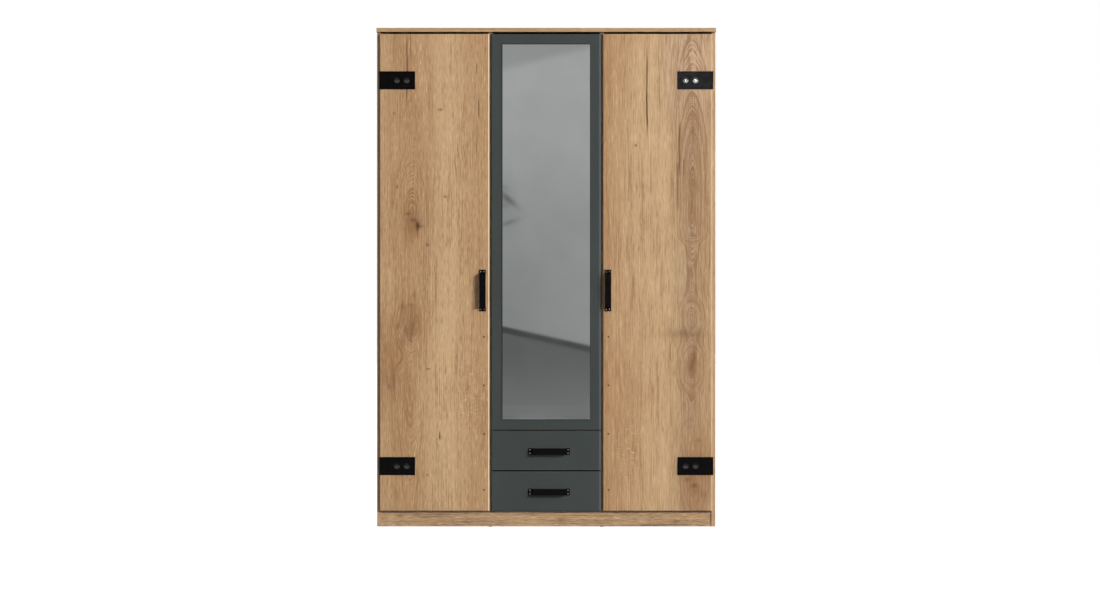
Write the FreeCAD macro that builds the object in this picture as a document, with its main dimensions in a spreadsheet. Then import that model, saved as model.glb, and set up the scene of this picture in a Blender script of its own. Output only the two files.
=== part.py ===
"""Three-door wardrobe with a mirror door and two drawers, as a parametric FreeCAD document.

Frame: millimetres, +Z up, X across the front (left door at -X), front towards -Y.
The origin is on the floor, at the middle of the overall width and depth.
Every board, fitting and fastener is an object of the document, bound to the sheet of sizes.
"""

import FreeCAD, Part
import Sketcher
import math
import os
import re

SIZES = [
    ("body_width", 1350, "outer width over the two side panels"),
    ("body_height", 1990, "overall height"),
    ("carcass_depth", 558, "front edges of the boards to the heads of the back panel nails"),
    ("board", 16, "thickness of the coated chipboard"),
    ("top_overhang", 2, "top board beyond each side panel"),
    ("top_lip", 4, "top board in front of the doors"),
    ("back_thick", 2.5, "hardboard back panels and drawer bottoms"),
    ("nail_rise", 0.5, "nail heads behind the back panels"),
    ("nail_radius", 2.4, "nail heads"),
    ("plinth_top", 60, "underside of the bottom board above the floor"),
    ("plinth_setback", 6, "plinth behind the front edges of the side panels"),
    ("glide_height", 1.5, "thin glides under the boards that reach the floor"),
    ("glide_radius", 7.5, "glide disc"),
    ("edge_round", 3, "rounded edge band of the fronts"),
    ("top_round", 1, "rounded edge band of the top board"),
    ("door_thick", 16, "doors and drawer fronts"),
    ("door_gap", 2, "air between the carcass and the closed fronts"),
    ("door_width", 438, "each front"),
    ("door_spacing", 6.5, "gap between neighbouring fronts"),
    ("door_bottom", 64, "lower edge of the fronts above the floor"),
    ("door_top_gap", 8, "gap between the doors and the top board"),
    ("front_height", 158.5, "each drawer front"),
    ("front_spacing", 3, "gap above each drawer front"),
    ("mirror_side", 43, "door frame showing beside the mirror"),
    ("mirror_end", 40.5, "door frame showing above and below the mirror"),
    ("mirror_thick", 4, "mirror pane"),
    ("bevel_width", 1, "ground edge of the mirror, on its front"),
    ("bevel_depth", 1, "ground edge of the mirror, on its sides"),
    ("handle_length", 166, "over the two flanges"),
    ("handle_width", 26.6, "flanges of a handle"),
    ("grip_width", 25.6, "raised grip of a handle"),
    ("handle_reach", 30, "front of the grip beyond the front it is on"),
    ("handle_strip", 3, "steel of the handle"),
    ("flange_length", 14, "each flange outside its leg"),
    ("leg_slant", 3, "each leg leans in by this much"),
    ("handle_height", 943, "middle of the door handles above the floor"),
    ("left_handle_inset", 28.5, "middle of the left door's handle from the door's free edge"),
    ("right_handle_inset", 20.5, "the same for the right door's handle"),
    ("handle_drop", 3.5, "drawer handles below the middle of their fronts"),
    ("drawer_handle_shift", 11, "drawer handles right of the middle of their fronts"),
    ("handle_screw_pitch", 14, "two screws in each flange"),
    ("strap_length", 143, "corner strap along the door front"),
    ("strap_height", 72, "corner strap"),
    ("strap_thick", 2.5, "corner strap plate"),
    ("strap_return", 14, "leg of the strap that wraps the door's edge"),
    ("strap_low", 243, "middle of the lower straps above the floor"),
    ("strap_high", 1781, "middle of the upper straps above the floor"),
    ("bolt_first", 33, "strap bolt from the strap's inner end"),
    ("bolt_pitch", 39.5, "distance of the two strap bolts"),
    ("bolt_radius", 11.5, "domed head of a strap bolt"),
    ("bolt_rise", 4, "domed head of a strap bolt"),
    ("socket_radius", 4.6, "hexagon socket of a strap bolt, over its corners"),
    ("socket_deep", 2.5, "hexagon socket of a strap bolt"),
    ("pivot_inset", 5, "turning axis of a door from its edge"),
    ("pivot_depth", 10, "turning axis of a door in front of its back face"),
    ("hinge_end", 96, "outermost hinges from the door's upper and lower edge"),
    ("cup_offset", 15.5, "middle of a hinge cup from the turning axis"),
    ("cup_radius", 17.5, "cup bore in the door"),
    ("cup_depth", 12, "cup bore in the door"),
    ("plate_setback", 37, "screws of a hinge plate behind the front edge"),
    ("plate_screw", 16, "screws of a hinge plate above and below its middle"),
    ("shelf_level", 1660, "underside of the hat shelves"),
    ("shelf_setback", 20, "shelves behind the front edges"),
    ("rail_drop", 60, "middle of a clothes rail under its hat shelf"),
    ("rail_tall", 30, "oval clothes rail"),
    ("rail_wide", 15, "oval clothes rail"),
    ("rail_wall", 1.2, "oval clothes rail"),
    ("socket_wall", 2.5, "end sockets of a clothes rail"),
    ("socket_depth", 14, "end sockets of a clothes rail"),
    ("cover_level", 377.5, "underside of the fixed shelf over the drawers"),
    ("shelf_first", 780, "underside of the lowest adjustable shelf"),
    ("shelf_step", 384, "distance of the adjustable shelves"),
    ("pin_step", 32, "distance of the shelf pin holes"),
    ("pin_inset", 55, "shelf pin rows from the front and rear edges"),
    ("pin_radius", 2.5, "shelf pin"),
    ("pin_sink", 9, "shelf pin inside the board"),
    ("pin_reach", 8, "shelf pin under the shelf"),
    ("drawer_side", 12, "sides and back of the drawer boxes"),
    ("drawer_depth", 480, "drawer box behind its front"),
    ("drawer_tall", 110, "drawer box sides"),
    ("drawer_lift", 22, "drawer box above the lower edge of its front"),
    ("drawer_clear", 1.5, "air beside a drawer box"),
    ("bottom_lift", 8, "drawer bottom above the lower edge of its sides"),
    ("bottom_bite", 5, "drawer bottom inside the grooves of its sides"),
    ("groove_air", 0.2, "air round a board in its groove"),
    ("runner_tall", 16, "runner bar on the partition"),
    ("runner_bite", 5.5, "runner bar inside the groove of the drawer side"),
    ("runner_length", 440, "runner bar"),
    ("runner_start", 30, "runner bar behind the front edge of the partition"),
    ("cam_radius", 7.5, "cam lock"),
    ("cam_deep", 12.5, "cam lock"),
    ("cam_setback", 34, "middle of a cam lock from the end of its board"),
    ("cam_row", 70, "cam locks from the front and rear edges"),
    ("cam_air", 0.1, "air round a cam lock"),
    ("dowel_radius", 4, "wooden dowel"),
    ("dowel_length", 32, "wooden dowel"),
    ("dowel_row", 120, "dowels from the front and rear edges"),
    ("bumper_radius", 2.8, "felt bumper"),
    ("bumper_thick", 1.9, "felt bumper"),
    ("bracket_leg", 48, "legs of a wall bracket"),
    ("bracket_width", 40, "wall bracket"),
    ("bracket_thick", 2.5, "wall bracket"),
    ("anchor_radius", 2.75, "hole for the wall screw"),
    ("anchor_drop", 28, "wall screw below the top board"),
]

# Concealed hinge, measured from the door's turning axis: x away from the hinged edge, y inwards.
ARM_PIN = (18.79, 6.84)
CUP_PIN = (1.71, 4.70)
ARM_OUTLINE = [(4.5, 84), (14.5, 84), (14.5, 26), (22, 10), (22, 6.84), (15.6, 6.84), (9.5, 18), (4.5, 22)]
LINK_PATH = [CUP_PIN, (7.09, 0.71), (12.45, 1.64), ARM_PIN]
LINK_SLIDE = 2.2
PLATE_RISE = 4.5

doc = FreeCAD.newDocument("Wardrobe")
sheet = doc.addObject("Spreadsheet::Sheet", "Sheet")
for row, (alias, value, note) in enumerate(SIZES, 1):
    sheet.set(f"A{row}", note)
    sheet.set(f"B{row}", str(value))
    sheet.setAlias(f"B{row}", alias)
doc.recompute()

# Places that several sub-parts share, as expressions of the sheet's aliases.
HALF = "(body_width / 2)"
INNER = "(body_width / 2 - board)"
BACK = "((carcass_depth + door_gap + door_thick + handle_reach) / 2)"
PANEL_OUT = f"({BACK} - nail_rise)"
REAR = f"({PANEL_OUT} - back_thick)"
FRONT = f"({BACK} - carcass_depth)"
DEEP = "(carcass_depth - nail_rise - back_thick)"
TOP_UNDER = "(body_height - board)"
FLOOR_TOP = "(plinth_top + board)"
WALL_IN = "(door_width / 2 + door_spacing / 2 - board / 2)"
WALL_OUT = f"({WALL_IN} + board)"
DOOR_BACK = f"({FRONT} - door_gap)"
DOOR_FRONT = f"({DOOR_BACK} - door_thick)"
DOOR_TOP = f"({TOP_UNDER} - door_top_gap)"
DOOR_SHIFT = "(door_width + door_spacing)"
PIVOT_Y = f"({DOOR_BACK} - pivot_depth)"
LEFT_PIVOT = f"(pivot_inset - {DOOR_SHIFT} - door_width / 2)"
MIRROR_PIVOT = "(pivot_inset - door_width / 2)"
MIRROR_BOTTOM = "(door_bottom + 2 * front_height + 2 * front_spacing)"
BAY_MIDDLE = f"(({INNER} + {WALL_OUT}) / 2)"
RAIL_Y = f"(({FRONT} + {REAR}) / 2)"
RAIL_Z = "(shelf_level - rail_drop)"

OUTER_HINGES = [
    f"door_bottom + hinge_end + ({DOOR_TOP} - door_bottom - 2 * hinge_end) * {share}"
    for share in (0, 0.32, 0.68, 1)
]
MIRROR_HINGES = [
    f"{MIRROR_BOTTOM} + hinge_end + ({DOOR_TOP} - {MIRROR_BOTTOM} - 2 * hinge_end) * {share}"
    for share in (0, 0.42, 1)
]
MIDDLE_SHELVES = [f"(shelf_first + {step} * shelf_step)" for step in range(3)]
DRAWERS = {"lower_drawer": "door_bottom", "upper_drawer": "(door_bottom + front_height + front_spacing)"}

TURNS = {
    "X": FreeCAD.Rotation(FreeCAD.Vector(0, 1, 0), 90),
    "Y": FreeCAD.Rotation(FreeCAD.Vector(1, 0, 0), -90),
    "Z": FreeCAD.Rotation(),
}

sub_parts = []


def formula(text):
    """The text with each alias written as a cell of the sheet."""
    return re.sub(r"[a-z]+(?:_[a-z]+)*", lambda word: "Sheet." + word.group(0), str(text))


def number(text):
    return float(sheet.evalExpression(formula(text)))


def bind(obj, **properties):
    """Binds properties, written with __ for a dot, to expressions of the sheet."""
    for name, text in properties.items():
        obj.setExpression(name.replace("__", "."), formula(text))
    return obj


def place(obj, x, y, z):
    return bind(obj, Placement__Base__x=x, Placement__Base__y=y, Placement__Base__z=z)


def box(name, x, y, z):
    """A box between pairs of expressions along each axis."""
    obj = doc.addObject("Part::Box", name)
    spans = [f"({end}) - ({start})" for start, end in (x, y, z)]
    bind(obj, Length=spans[0], Width=spans[1], Height=spans[2])
    return place(obj, x[0], y[0], z[0])


def rod(name, axis, start, radius, length):
    """A cylinder that starts at a point and runs in the positive direction of an axis."""
    obj = doc.addObject("Part::Cylinder", name)
    obj.Placement.Rotation = TURNS[axis]
    bind(obj, Radius=radius, Height=length)
    return place(obj, *start)


def group(name, pieces):
    """Separate solids that stay separate."""
    obj = doc.addObject("Part::Compound", name)
    obj.Links = pieces
    return obj


def joined(name, pieces):
    obj = doc.addObject("Part::MultiFuse", name)
    obj.Shapes = pieces
    return obj


def cut(name, base, tools):
    obj = doc.addObject("Part::Cut", name)
    obj.Base = base
    obj.Tool = tools[0] if len(tools) == 1 else group(name + "_cutters", tools)
    return obj


def mirrored(name, source):
    """The right-hand twin of a left-hand object."""
    obj = doc.addObject("Part::Mirroring", name)
    obj.Source = source
    obj.Normal = FreeCAD.Vector(1, 0, 0)
    return obj


def copies(name, places):
    """Copies of master shapes, each given as (master, x, y, z)."""
    links = []
    for index, (master, x, y, z) in enumerate(places, 1):
        link = doc.addObject("App::Link", f"{name}_copy_{index}")
        link.LinkedObject = master
        link.LinkTransform = True
        links.append(place(link, x, y, z))
    return group(name, links)


def keep(obj):
    """Marks an object as a finished sub-part."""
    sub_parts.append(obj)
    return obj


def new_body(name):
    return doc.addObject("PartDesign::Body", name)


def outline(body, name, plane, points):
    """A closed polygon on one of the body's planes, every corner held by two dimensions."""
    sketch = body.newObject("Sketcher::SketchObject", name)
    support = [item for item in body.Origin.OriginFeatures if item.Role == plane]
    sketch.AttachmentSupport = [(support[0], "")]
    sketch.MapMode = "FlatFace"
    corners = [FreeCAD.Vector(number(x), number(y), 0) for x, y in points]
    count = len(corners)
    for index in range(count):
        sketch.addGeometry(Part.LineSegment(corners[index], corners[(index + 1) % count]), False)
    for index in range(count):
        sketch.addConstraint(Sketcher.Constraint("Coincident", index, 2, (index + 1) % count, 1))
    for index, (x, y) in enumerate(points):
        for kind, text in (("DistanceX", x), ("DistanceY", y)):
            made = sketch.addConstraint(Sketcher.Constraint(kind, -1, 1, index, 1, number(text)))
            sketch.setExpression(f"Constraints[{made}]", formula(text))
    return sketch


def pad(body, name, sketch, length, midplane=False):
    obj = body.newObject("PartDesign::Pad", name)
    obj.Profile = sketch
    obj.Midplane = midplane
    return bind(obj, Length=length)


def round_off(body, name, base, wanted, radius):
    """Rounds the edges of the base feature that the test accepts."""
    doc.recompute()
    edges = [f"Edge{index}" for index, edge in enumerate(base.Shape.Edges, 1) if wanted(edge)]
    obj = body.newObject("PartDesign::Fillet", name)
    obj.Base = (base, edges)
    return bind(obj, Radius=radius)


def all_at(edge, axis, value):
    return all(abs(getattr(vertex.Point, axis) - value) < 1e-4 for vertex in edge.Vertexes)


def strip_outline(path, half):
    """Corners of a bent strip around a centre line, mitred at the bends."""
    sides = ([], [])
    for index, (x, y) in enumerate(path):
        ahead = path[min(index + 1, len(path) - 1)]
        behind = path[max(index - 1, 0)]
        out = math.atan2(ahead[1] - y, ahead[0] - x) if ahead != (x, y) else None
        into = math.atan2(y - behind[1], x - behind[0]) if behind != (x, y) else out
        out = into if out is None else out
        lean = (out + into) / 2 + math.pi / 2
        reach = half / math.cos((out - into) / 2)
        for side, sign in zip(sides, (1, -1)):
            side.append((x + sign * reach * math.cos(lean), y + sign * reach * math.sin(lean)))
    return sides[0] + sides[1][::-1]


def cam_places():
    """Cam locks as (board name, axis, start point): each opens on a face inside the wardrobe."""
    rows = (f"{FRONT} + cam_row", f"{REAR} - cam_row")
    high = f"{TOP_UNDER} - cam_setback"
    places = []
    for y in rows:
        places.append(("left_side_panel", "X", (f"-{INNER} - cam_deep", y, high)))
        places.append(("left_partition", "X", (f"-{WALL_OUT}", y, high)))
        for x in (f"-{INNER} + cam_setback", f"-{WALL_OUT} - cam_setback"):
            places.append(("left_hat_shelf", "Z", (x, y, "shelf_level")))
        for x in (f"-{INNER} + cam_setback", f"-{WALL_OUT} - cam_setback",
                  f"-{WALL_IN} + cam_setback", f"{WALL_IN} - cam_setback",
                  f"{WALL_OUT} + cam_setback", f"{INNER} - cam_setback"):
            places.append(("bottom_board", "Z", (x, y, "plinth_top")))
        for x in (f"-{WALL_IN} + cam_setback", f"{WALL_IN} - cam_setback"):
            places.append(("drawer_cover_shelf", "Z", (x, y, "cover_level")))
    return places


def cam_bores(board_name):
    tools = []
    for index, (board, axis, start) in enumerate(cam_places(), 1):
        if board == board_name:
            tools.append(rod(f"{board}_cam_bore_{index}", axis, start, "cam_radius + cam_air", "cam_deep"))
    return tools


def cam_locks():
    """All cam locks; those of the left-hand boards have a right-hand twin."""
    left = []
    middle = []
    for index, (board, axis, start) in enumerate(cam_places(), 1):
        lock = rod(f"cam_lock_{index}", axis, start, "cam_radius", "cam_deep - cam_air")
        target = left if board.startswith("left") else middle
        target.append(lock)
    twins = [mirrored(lock.Name + "_twin", lock) for lock in left]
    keep(group("cam_locks", left + twins + middle))


def side_panels():
    board = box("left_side_board", (f"-{HALF}", f"-{INNER}"), (FRONT, REAR), ("glide_height", TOP_UNDER))
    keep(cut("left_side_panel", board, cam_bores("left_side_panel")))
    keep(mirrored("right_side_panel", sub_parts[-1]))


def partitions():
    """Partitions with rows of shelf pin holes towards the middle bay."""
    board = box("left_partition_board", (f"-{WALL_OUT}", f"-{WALL_IN}"), (FRONT, REAR),
                (FLOOR_TOP, TOP_UNDER))
    hole = rod("shelf_pin_hole", "X", ("0", "0", "0"), "pin_radius + 0.05", "pin_sink + 0.5")
    places = []
    for shelf in MIDDLE_SHELVES:
        for y in (f"{FRONT} + pin_inset", f"{REAR} - pin_inset"):
            for step in (-2, -1, 0, 1, 2):
                height = f"{shelf} - pin_radius - 0.05 + ({step}) * pin_step"
                places.append((hole, f"-{WALL_IN} - pin_sink - 0.5", y, height))
    holes = copies("left_partition_pin_holes", places)
    keep(cut("left_partition", board, cam_bores("left_partition") + [holes]))
    keep(mirrored("right_partition", sub_parts[-1]))


def top_and_bottom():
    """The top board laps over the doors, sides and back panels; the bottom board sits between the sides."""
    body = new_body("top_board")
    place(body, "0", "0", TOP_UNDER)
    edge = f"({HALF} + top_overhang)"
    lip = f"({DOOR_FRONT} - top_lip)"
    sketch = outline(body, "top_board_outline", "XY_Plane",
                     [(f"-{edge}", lip), (edge, lip), (edge, PANEL_OUT), (f"-{edge}", PANEL_OUT)])
    slab = pad(body, "top_board_slab", sketch, "board")
    front = number(lip)
    wanted = lambda edge: all_at(edge, "y", front) and edge.Length > number("board") + 1
    round_off(body, "top_board_round", slab, wanted, "top_round")
    keep(body)
    board = box("bottom_board_blank", (f"-{INNER}", INNER), (FRONT, REAR), ("plinth_top", FLOOR_TOP))
    keep(cut("bottom_board", board, cam_bores("bottom_board")))


def plinths_and_glides():
    span = (f"-{INNER}", INNER)
    tall = ("glide_height", "plinth_top")
    plinth_face = f"({FRONT} + plinth_setback)"
    keep(box("plinth_front", span, (plinth_face, f"{plinth_face} + board"), tall))
    keep(box("plinth_rear", span, (f"{REAR} - board", REAR), tall))
    glides = []
    wall_x = f"({HALF} - board / 2)"
    post_x = f"({WALL_IN} + board / 2)"
    spots = [(wall_x, f"{FRONT} + 60"), (wall_x, f"{REAR} - 60"),
             (post_x, f"{plinth_face} + board / 2"), (post_x, f"{REAR} - board / 2")]
    for index, (x, y) in enumerate(spots, 1):
        for side, sign in (("left", "-"), ("right", "")):
            start = (f"{sign}{x}", y, "0")
            glides.append(rod(f"{side}_glide_{index}", "Z", start, "glide_radius", "glide_height"))
    keep(group("floor_glides", glides))


def back_panels():
    """Three hardboard panels nailed behind the boards, the outer two with a wall screw hole."""
    post = f"({WALL_IN} + board / 2)"
    tall = ("plinth_top", TOP_UNDER)
    deep = (REAR, PANEL_OUT)
    sheet_left = box("back_sheet_left", (f"1 - {HALF}", f"-{post} - 0.5"), deep, tall)
    hole = rod("back_anchor_hole", "Y", (f"-{BAY_MIDDLE}", f"{REAR} - 1", f"{TOP_UNDER} - anchor_drop"),
               "anchor_radius", "back_thick + 2")
    keep(cut("back_panel_left", sheet_left, [hole]))
    keep(mirrored("back_panel_right", sub_parts[-1]))
    keep(box("back_panel_middle", (f"0.5 - {post}", f"{post} - 0.5"), deep, tall))


def back_panel_nails():
    """Nail heads along the uprights, the top and the bottom board."""
    nail = rod("back_nail", "Y", ("0", "0", "0"), "nail_radius", "nail_rise")
    post = f"({WALL_IN} + board / 2)"
    columns = [f"8 - {HALF}", f"-{post} - 4.5", f"4.5 - {post}",
               f"{post} - 4.5", f"{post} + 4.5", f"{HALF} - 8"]
    places = []
    for column in columns:
        for step in range(9):
            places.append((nail, column, PANEL_OUT, f"{FLOOR_TOP} + 40 + {step} * 226"))
    for column in (f"-{BAY_MIDDLE}", "0", BAY_MIDDLE):
        places.append((nail, column, PANEL_OUT, "plinth_top + board / 2"))
    keep(copies("back_panel_nails", places))


def shelves():
    shelf = box("left_hat_shelf_board", (f"-{INNER}", f"-{WALL_OUT}"), (f"{FRONT} + shelf_setback", REAR),
                ("shelf_level", "shelf_level + board"))
    keep(cut("left_hat_shelf", shelf, cam_bores("left_hat_shelf")))
    keep(mirrored("right_hat_shelf", sub_parts[-1]))
    cover = box("drawer_cover_board", (f"-{WALL_IN}", WALL_IN), (FRONT, REAR),
                ("cover_level", "cover_level + board"))
    keep(cut("drawer_cover_shelf", cover, cam_bores("drawer_cover_shelf")))
    boards = []
    for index, level in enumerate(MIDDLE_SHELVES, 1):
        boards.append(box(f"middle_shelf_{index}", (f"1 - {WALL_IN}", f"{WALL_IN} - 1"),
                          (f"{FRONT} + shelf_setback", f"{REAR} - 4"), (level, f"{level} + board")))
    keep(group("middle_shelves", boards))


def shelf_pins():
    """Four pins under each adjustable shelf, a collar against the partition."""
    shank = rod("shelf_pin_shank", "X", ("-pin_sink", "0", "0"), "pin_radius", "pin_sink + pin_reach")
    collar = rod("shelf_pin_collar", "X", ("0.05", "0", "-1.5"), "pin_radius + 1", "0.8")
    left = joined("shelf_pin_left", [shank, collar])
    right = mirrored("shelf_pin_right", left)
    places = []
    for shelf in MIDDLE_SHELVES:
        for y in (f"{FRONT} + pin_inset", f"{REAR} - pin_inset"):
            places.append((left, f"-{WALL_IN}", y, f"{shelf} - pin_radius - 0.05"))
            places.append((right, WALL_IN, y, f"{shelf} - pin_radius - 0.05"))
    keep(copies("shelf_pins", places))


def oval(name, start, length, grow):
    """An upright oval bar along X, larger than the clothes rail by grow all round."""
    x, y, z = start
    straight = "(rail_tall / 2 - rail_wide / 2)"
    wide = f"(rail_wide / 2 + {grow})"
    middle = box(name + "_web", (x, f"{x} + {length}"), (f"{y} - {wide}", f"{y} + {wide}"),
                 (f"{z} - {straight}", f"{z} + {straight}"))
    low = rod(name + "_low", "X", (x, y, f"{z} - {straight}"), wide, length)
    high = rod(name + "_high", "X", (x, y, f"{z} + {straight}"), wide, length)
    return joined(name, [middle, low, high])


def clothes_rails():
    """An oval steel tube under each hat shelf, its ends in sockets with two screw lugs."""
    start = f"(1 + socket_wall - {INNER})"
    length = f"({INNER} - {WALL_OUT} - 2 * socket_wall - 2)"
    tube = oval("left_rail_tube", (start, RAIL_Y, RAIL_Z), length, "0")
    hollow = oval("left_rail_hollow", (f"{start} - 1", RAIL_Y, RAIL_Z), f"{length} + 2", "(-rail_wall)")
    keep(cut("left_clothes_rail", tube, [hollow]))
    keep(mirrored("right_clothes_rail", sub_parts[-1]))

    cup = oval("rail_socket_cup", ("0", "0", "0"), "socket_depth", "socket_wall")
    base = box("rail_socket_base", ("0", "socket_wall"), ("-9", "9"), ("-32", "32"))
    room = oval("rail_socket_room", ("socket_wall", "0", "0"), "socket_depth", "0.1")
    holes = [rod(f"rail_socket_hole_{index}", "X", ("-1", "0", z), "1.8", "socket_wall + 2")
             for index, z in enumerate(("-27", "27"), 1)]
    facing_right = cut("rail_socket_left", joined("rail_socket_blank", [cup, base]), [room] + holes)
    facing_left = mirrored("rail_socket_right", facing_right)
    keep(copies("rail_sockets", [
        (facing_right, f"-{INNER}", RAIL_Y, RAIL_Z), (facing_left, f"-{WALL_OUT}", RAIL_Y, RAIL_Z),
        (facing_right, WALL_OUT, RAIL_Y, RAIL_Z), (facing_left, INNER, RAIL_Y, RAIL_Z)]))


def dowels():
    """Glued dowels that locate the uprights under the top board."""
    places = []
    master = rod("dowel", "Z", ("0", "0", "-dowel_length * 2 / 3"), "dowel_radius", "dowel_length")
    columns = (f"board / 2 - {HALF}", f"-{WALL_IN} - board / 2",
               f"{WALL_IN} + board / 2", f"{HALF} - board / 2")
    for x in columns:
        for y in (f"{FRONT} + dowel_row", f"{REAR} - dowel_row"):
            places.append((master, x, y, TOP_UNDER))
    keep(copies("dowels", places))


def wall_brackets():
    """Angles under the top board; a screw through leg and back panel ties the wardrobe to a wall."""
    body = new_body("wall_bracket_angle")
    sketch = outline(body, "wall_bracket_outline", "YZ_Plane",
                     [("0", "0"), ("-bracket_leg", "0"), ("-bracket_leg", "-bracket_thick"),
                      ("-bracket_thick", "-bracket_thick"), ("-bracket_thick", "-bracket_leg"),
                      ("0", "-bracket_leg")])
    pad(body, "wall_bracket_pad", sketch, "bracket_width", midplane=True)
    wall_hole = rod("wall_bracket_hole", "Y", ("0", "-bracket_thick - 1", "-anchor_drop"),
                    "anchor_radius", "bracket_thick + 2")
    top_holes = [rod(f"wall_bracket_top_hole_{index}", "Z", (x, "-bracket_leg / 2 - 4", "-bracket_thick - 1"),
                     "1.8", "bracket_thick + 2") for index, x in enumerate(("-11", "11"), 1)]
    master = cut("wall_bracket", body, [wall_hole] + top_holes)
    keep(copies("wall_brackets", [(master, f"{sign}{BAY_MIDDLE}", REAR, TOP_UNDER) for sign in ("-", "")]))


def door_bumpers():
    """Felt dots that the closed fronts come to rest on, just clear of them."""
    spots = []
    for sign in ("-", ""):
        spots.append((f"{sign}({WALL_OUT} + 30)", "door_bottom + 5"))
        spots.append((f"{sign}({WALL_IN} - 30)", "door_bottom + 5"))
        spots.append((f"{sign}({WALL_IN} - 30)", "cover_level + board - 3.4"))
    bumpers = []
    for index, (x, z) in enumerate(spots, 1):
        bumpers.append(rod(f"door_bumper_{index}", "Y", (x, f"{FRONT} - bumper_thick", z),
                           "bumper_radius", "bumper_thick"))
    keep(group("door_bumpers", bumpers))


def hinge_plate(name, wall):
    """A cross-shaped mounting plate between a wall at x = wall and the underside of the arm."""
    flat = (wall, f"{PLATE_RISE - 0.1}")
    bar = box(name + "_bar", flat, ("22", "80"), ("-7", "7"))
    wing_flat = (wall, f"{wall} + 2.5")
    middle = "(pivot_depth + door_gap + plate_setback)"
    wings = box(name + "_wings", wing_flat, (f"{middle} - 8", f"{middle} + 8"), ("-24", "24"))
    holes = [rod(f"{name}_hole_{index}", "X", (f"{wall} - 1", middle, f"{sign}plate_screw"), "1.9", "6")
             for index, sign in enumerate(("-", ""), 1)]
    return cut(name, joined(name + "_blank", [bar, wings]), holes)


def hinge_arm():
    """The fixed arm: its forked nose holds the pin of the link."""
    body = new_body("hinge_arm_body")
    sketch = outline(body, "hinge_arm_outline", "XY_Plane", ARM_OUTLINE)
    pad(body, "hinge_arm_pad", sketch, "14", midplane=True)
    nose = rod("hinge_arm_nose", "Z", (ARM_PIN[0], ARM_PIN[1], -7), "3.2", "14")
    fork = rod("hinge_arm_fork", "Z", (ARM_PIN[0], ARM_PIN[1], -3.4), "8", "6.8")
    pin = rod("hinge_arm_pin", "Z", (ARM_PIN[0], ARM_PIN[1], -6.5), "1.5", "13")
    forked = cut("hinge_arm_forked", joined("hinge_arm_blank", [body, nose]), [fork])
    return joined("hinge_arm", [forked, pin])


def hinge_link():
    """The bent link between cup and arm, with an eye on the cup pin and a slot on the arm pin."""
    run = (ARM_PIN[0] - CUP_PIN[0], ARM_PIN[1] - CUP_PIN[1])
    reach = math.hypot(*run)
    near = (ARM_PIN[0] - LINK_SLIDE * run[0] / reach, ARM_PIN[1] - LINK_SLIDE * run[1] / reach)
    body = new_body("hinge_link_body")
    sketch = outline(body, "hinge_link_outline", "XY_Plane", strip_outline(LINK_PATH, 0.8))
    pad(body, "hinge_link_pad", sketch, "6", midplane=True)
    solids = [body]
    holes = []
    for index, (centre, outer, inner) in enumerate(
            ((CUP_PIN, 2.4, 1.3), (ARM_PIN, 3.1, 1.95), (near, 3.1, 1.95)), 1):
        solids.append(rod(f"hinge_link_eye_{index}", "Z", (*centre, -3), outer, "6"))
        holes.append(rod(f"hinge_link_hole_{index}", "Z", (*centre, -4), inner, "8"))
    for name, half, height, target in (("bar", 3.1, 3, solids), ("slot", 1.95, 4, holes)):
        flat = new_body(f"hinge_link_{name}")
        edge = outline(flat, f"hinge_link_{name}_outline", "XY_Plane", strip_outline([near, ARM_PIN], half))
        pad(flat, f"hinge_link_{name}_pad", edge, 2 * height, midplane=True)
        target.append(flat)
    return cut("hinge_link", joined("hinge_link_blank", solids), holes)


def hinge_cup():
    """The steel cup in the door, with its flange on the back face and the pin of the link."""
    middle = ("cup_offset", "pivot_depth - cup_depth + 0.1", "0")
    shell = rod("hinge_cup_shell", "Y", middle, "cup_radius - 0.05", "cup_depth + 1.1")
    flange = box("hinge_cup_flange", ("cup_offset - 10", "cup_offset + 14"),
                 ("pivot_depth", "pivot_depth + 1.2"), ("-28", "28"))
    room = rod("hinge_cup_room", "Y", ("cup_offset", "pivot_depth - cup_depth + 1", "0"),
               "cup_radius - 0.7", "cup_depth + 3")
    holes = [rod(f"hinge_cup_hole_{index}", "Y", ("cup_offset + 5.5", "pivot_depth - 1", f"{sign}22.5"),
                 "1.8", "4")
             for index, sign in enumerate(("-", ""), 1)]
    shaped = cut("hinge_cup_open", joined("hinge_cup_blank", [shell, flange]), [room] + holes)
    pin = rod("hinge_cup_pin", "Z", (CUP_PIN[0], CUP_PIN[1], -10.2), "1.25", "20.4")
    return joined("hinge_cup", [shaped, pin])


def wood_screw(name):
    """A pan head on a thin plate, its shank running through the plate into the board behind it."""
    head = rod(name + "_head", "X", ("0", "0", "0"), "3.4", "1.8")
    shank = rod(name + "_shank", "X", ("-13.5", "0", "0"), "1.7", "14")
    return joined(name, [head, shank])


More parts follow.
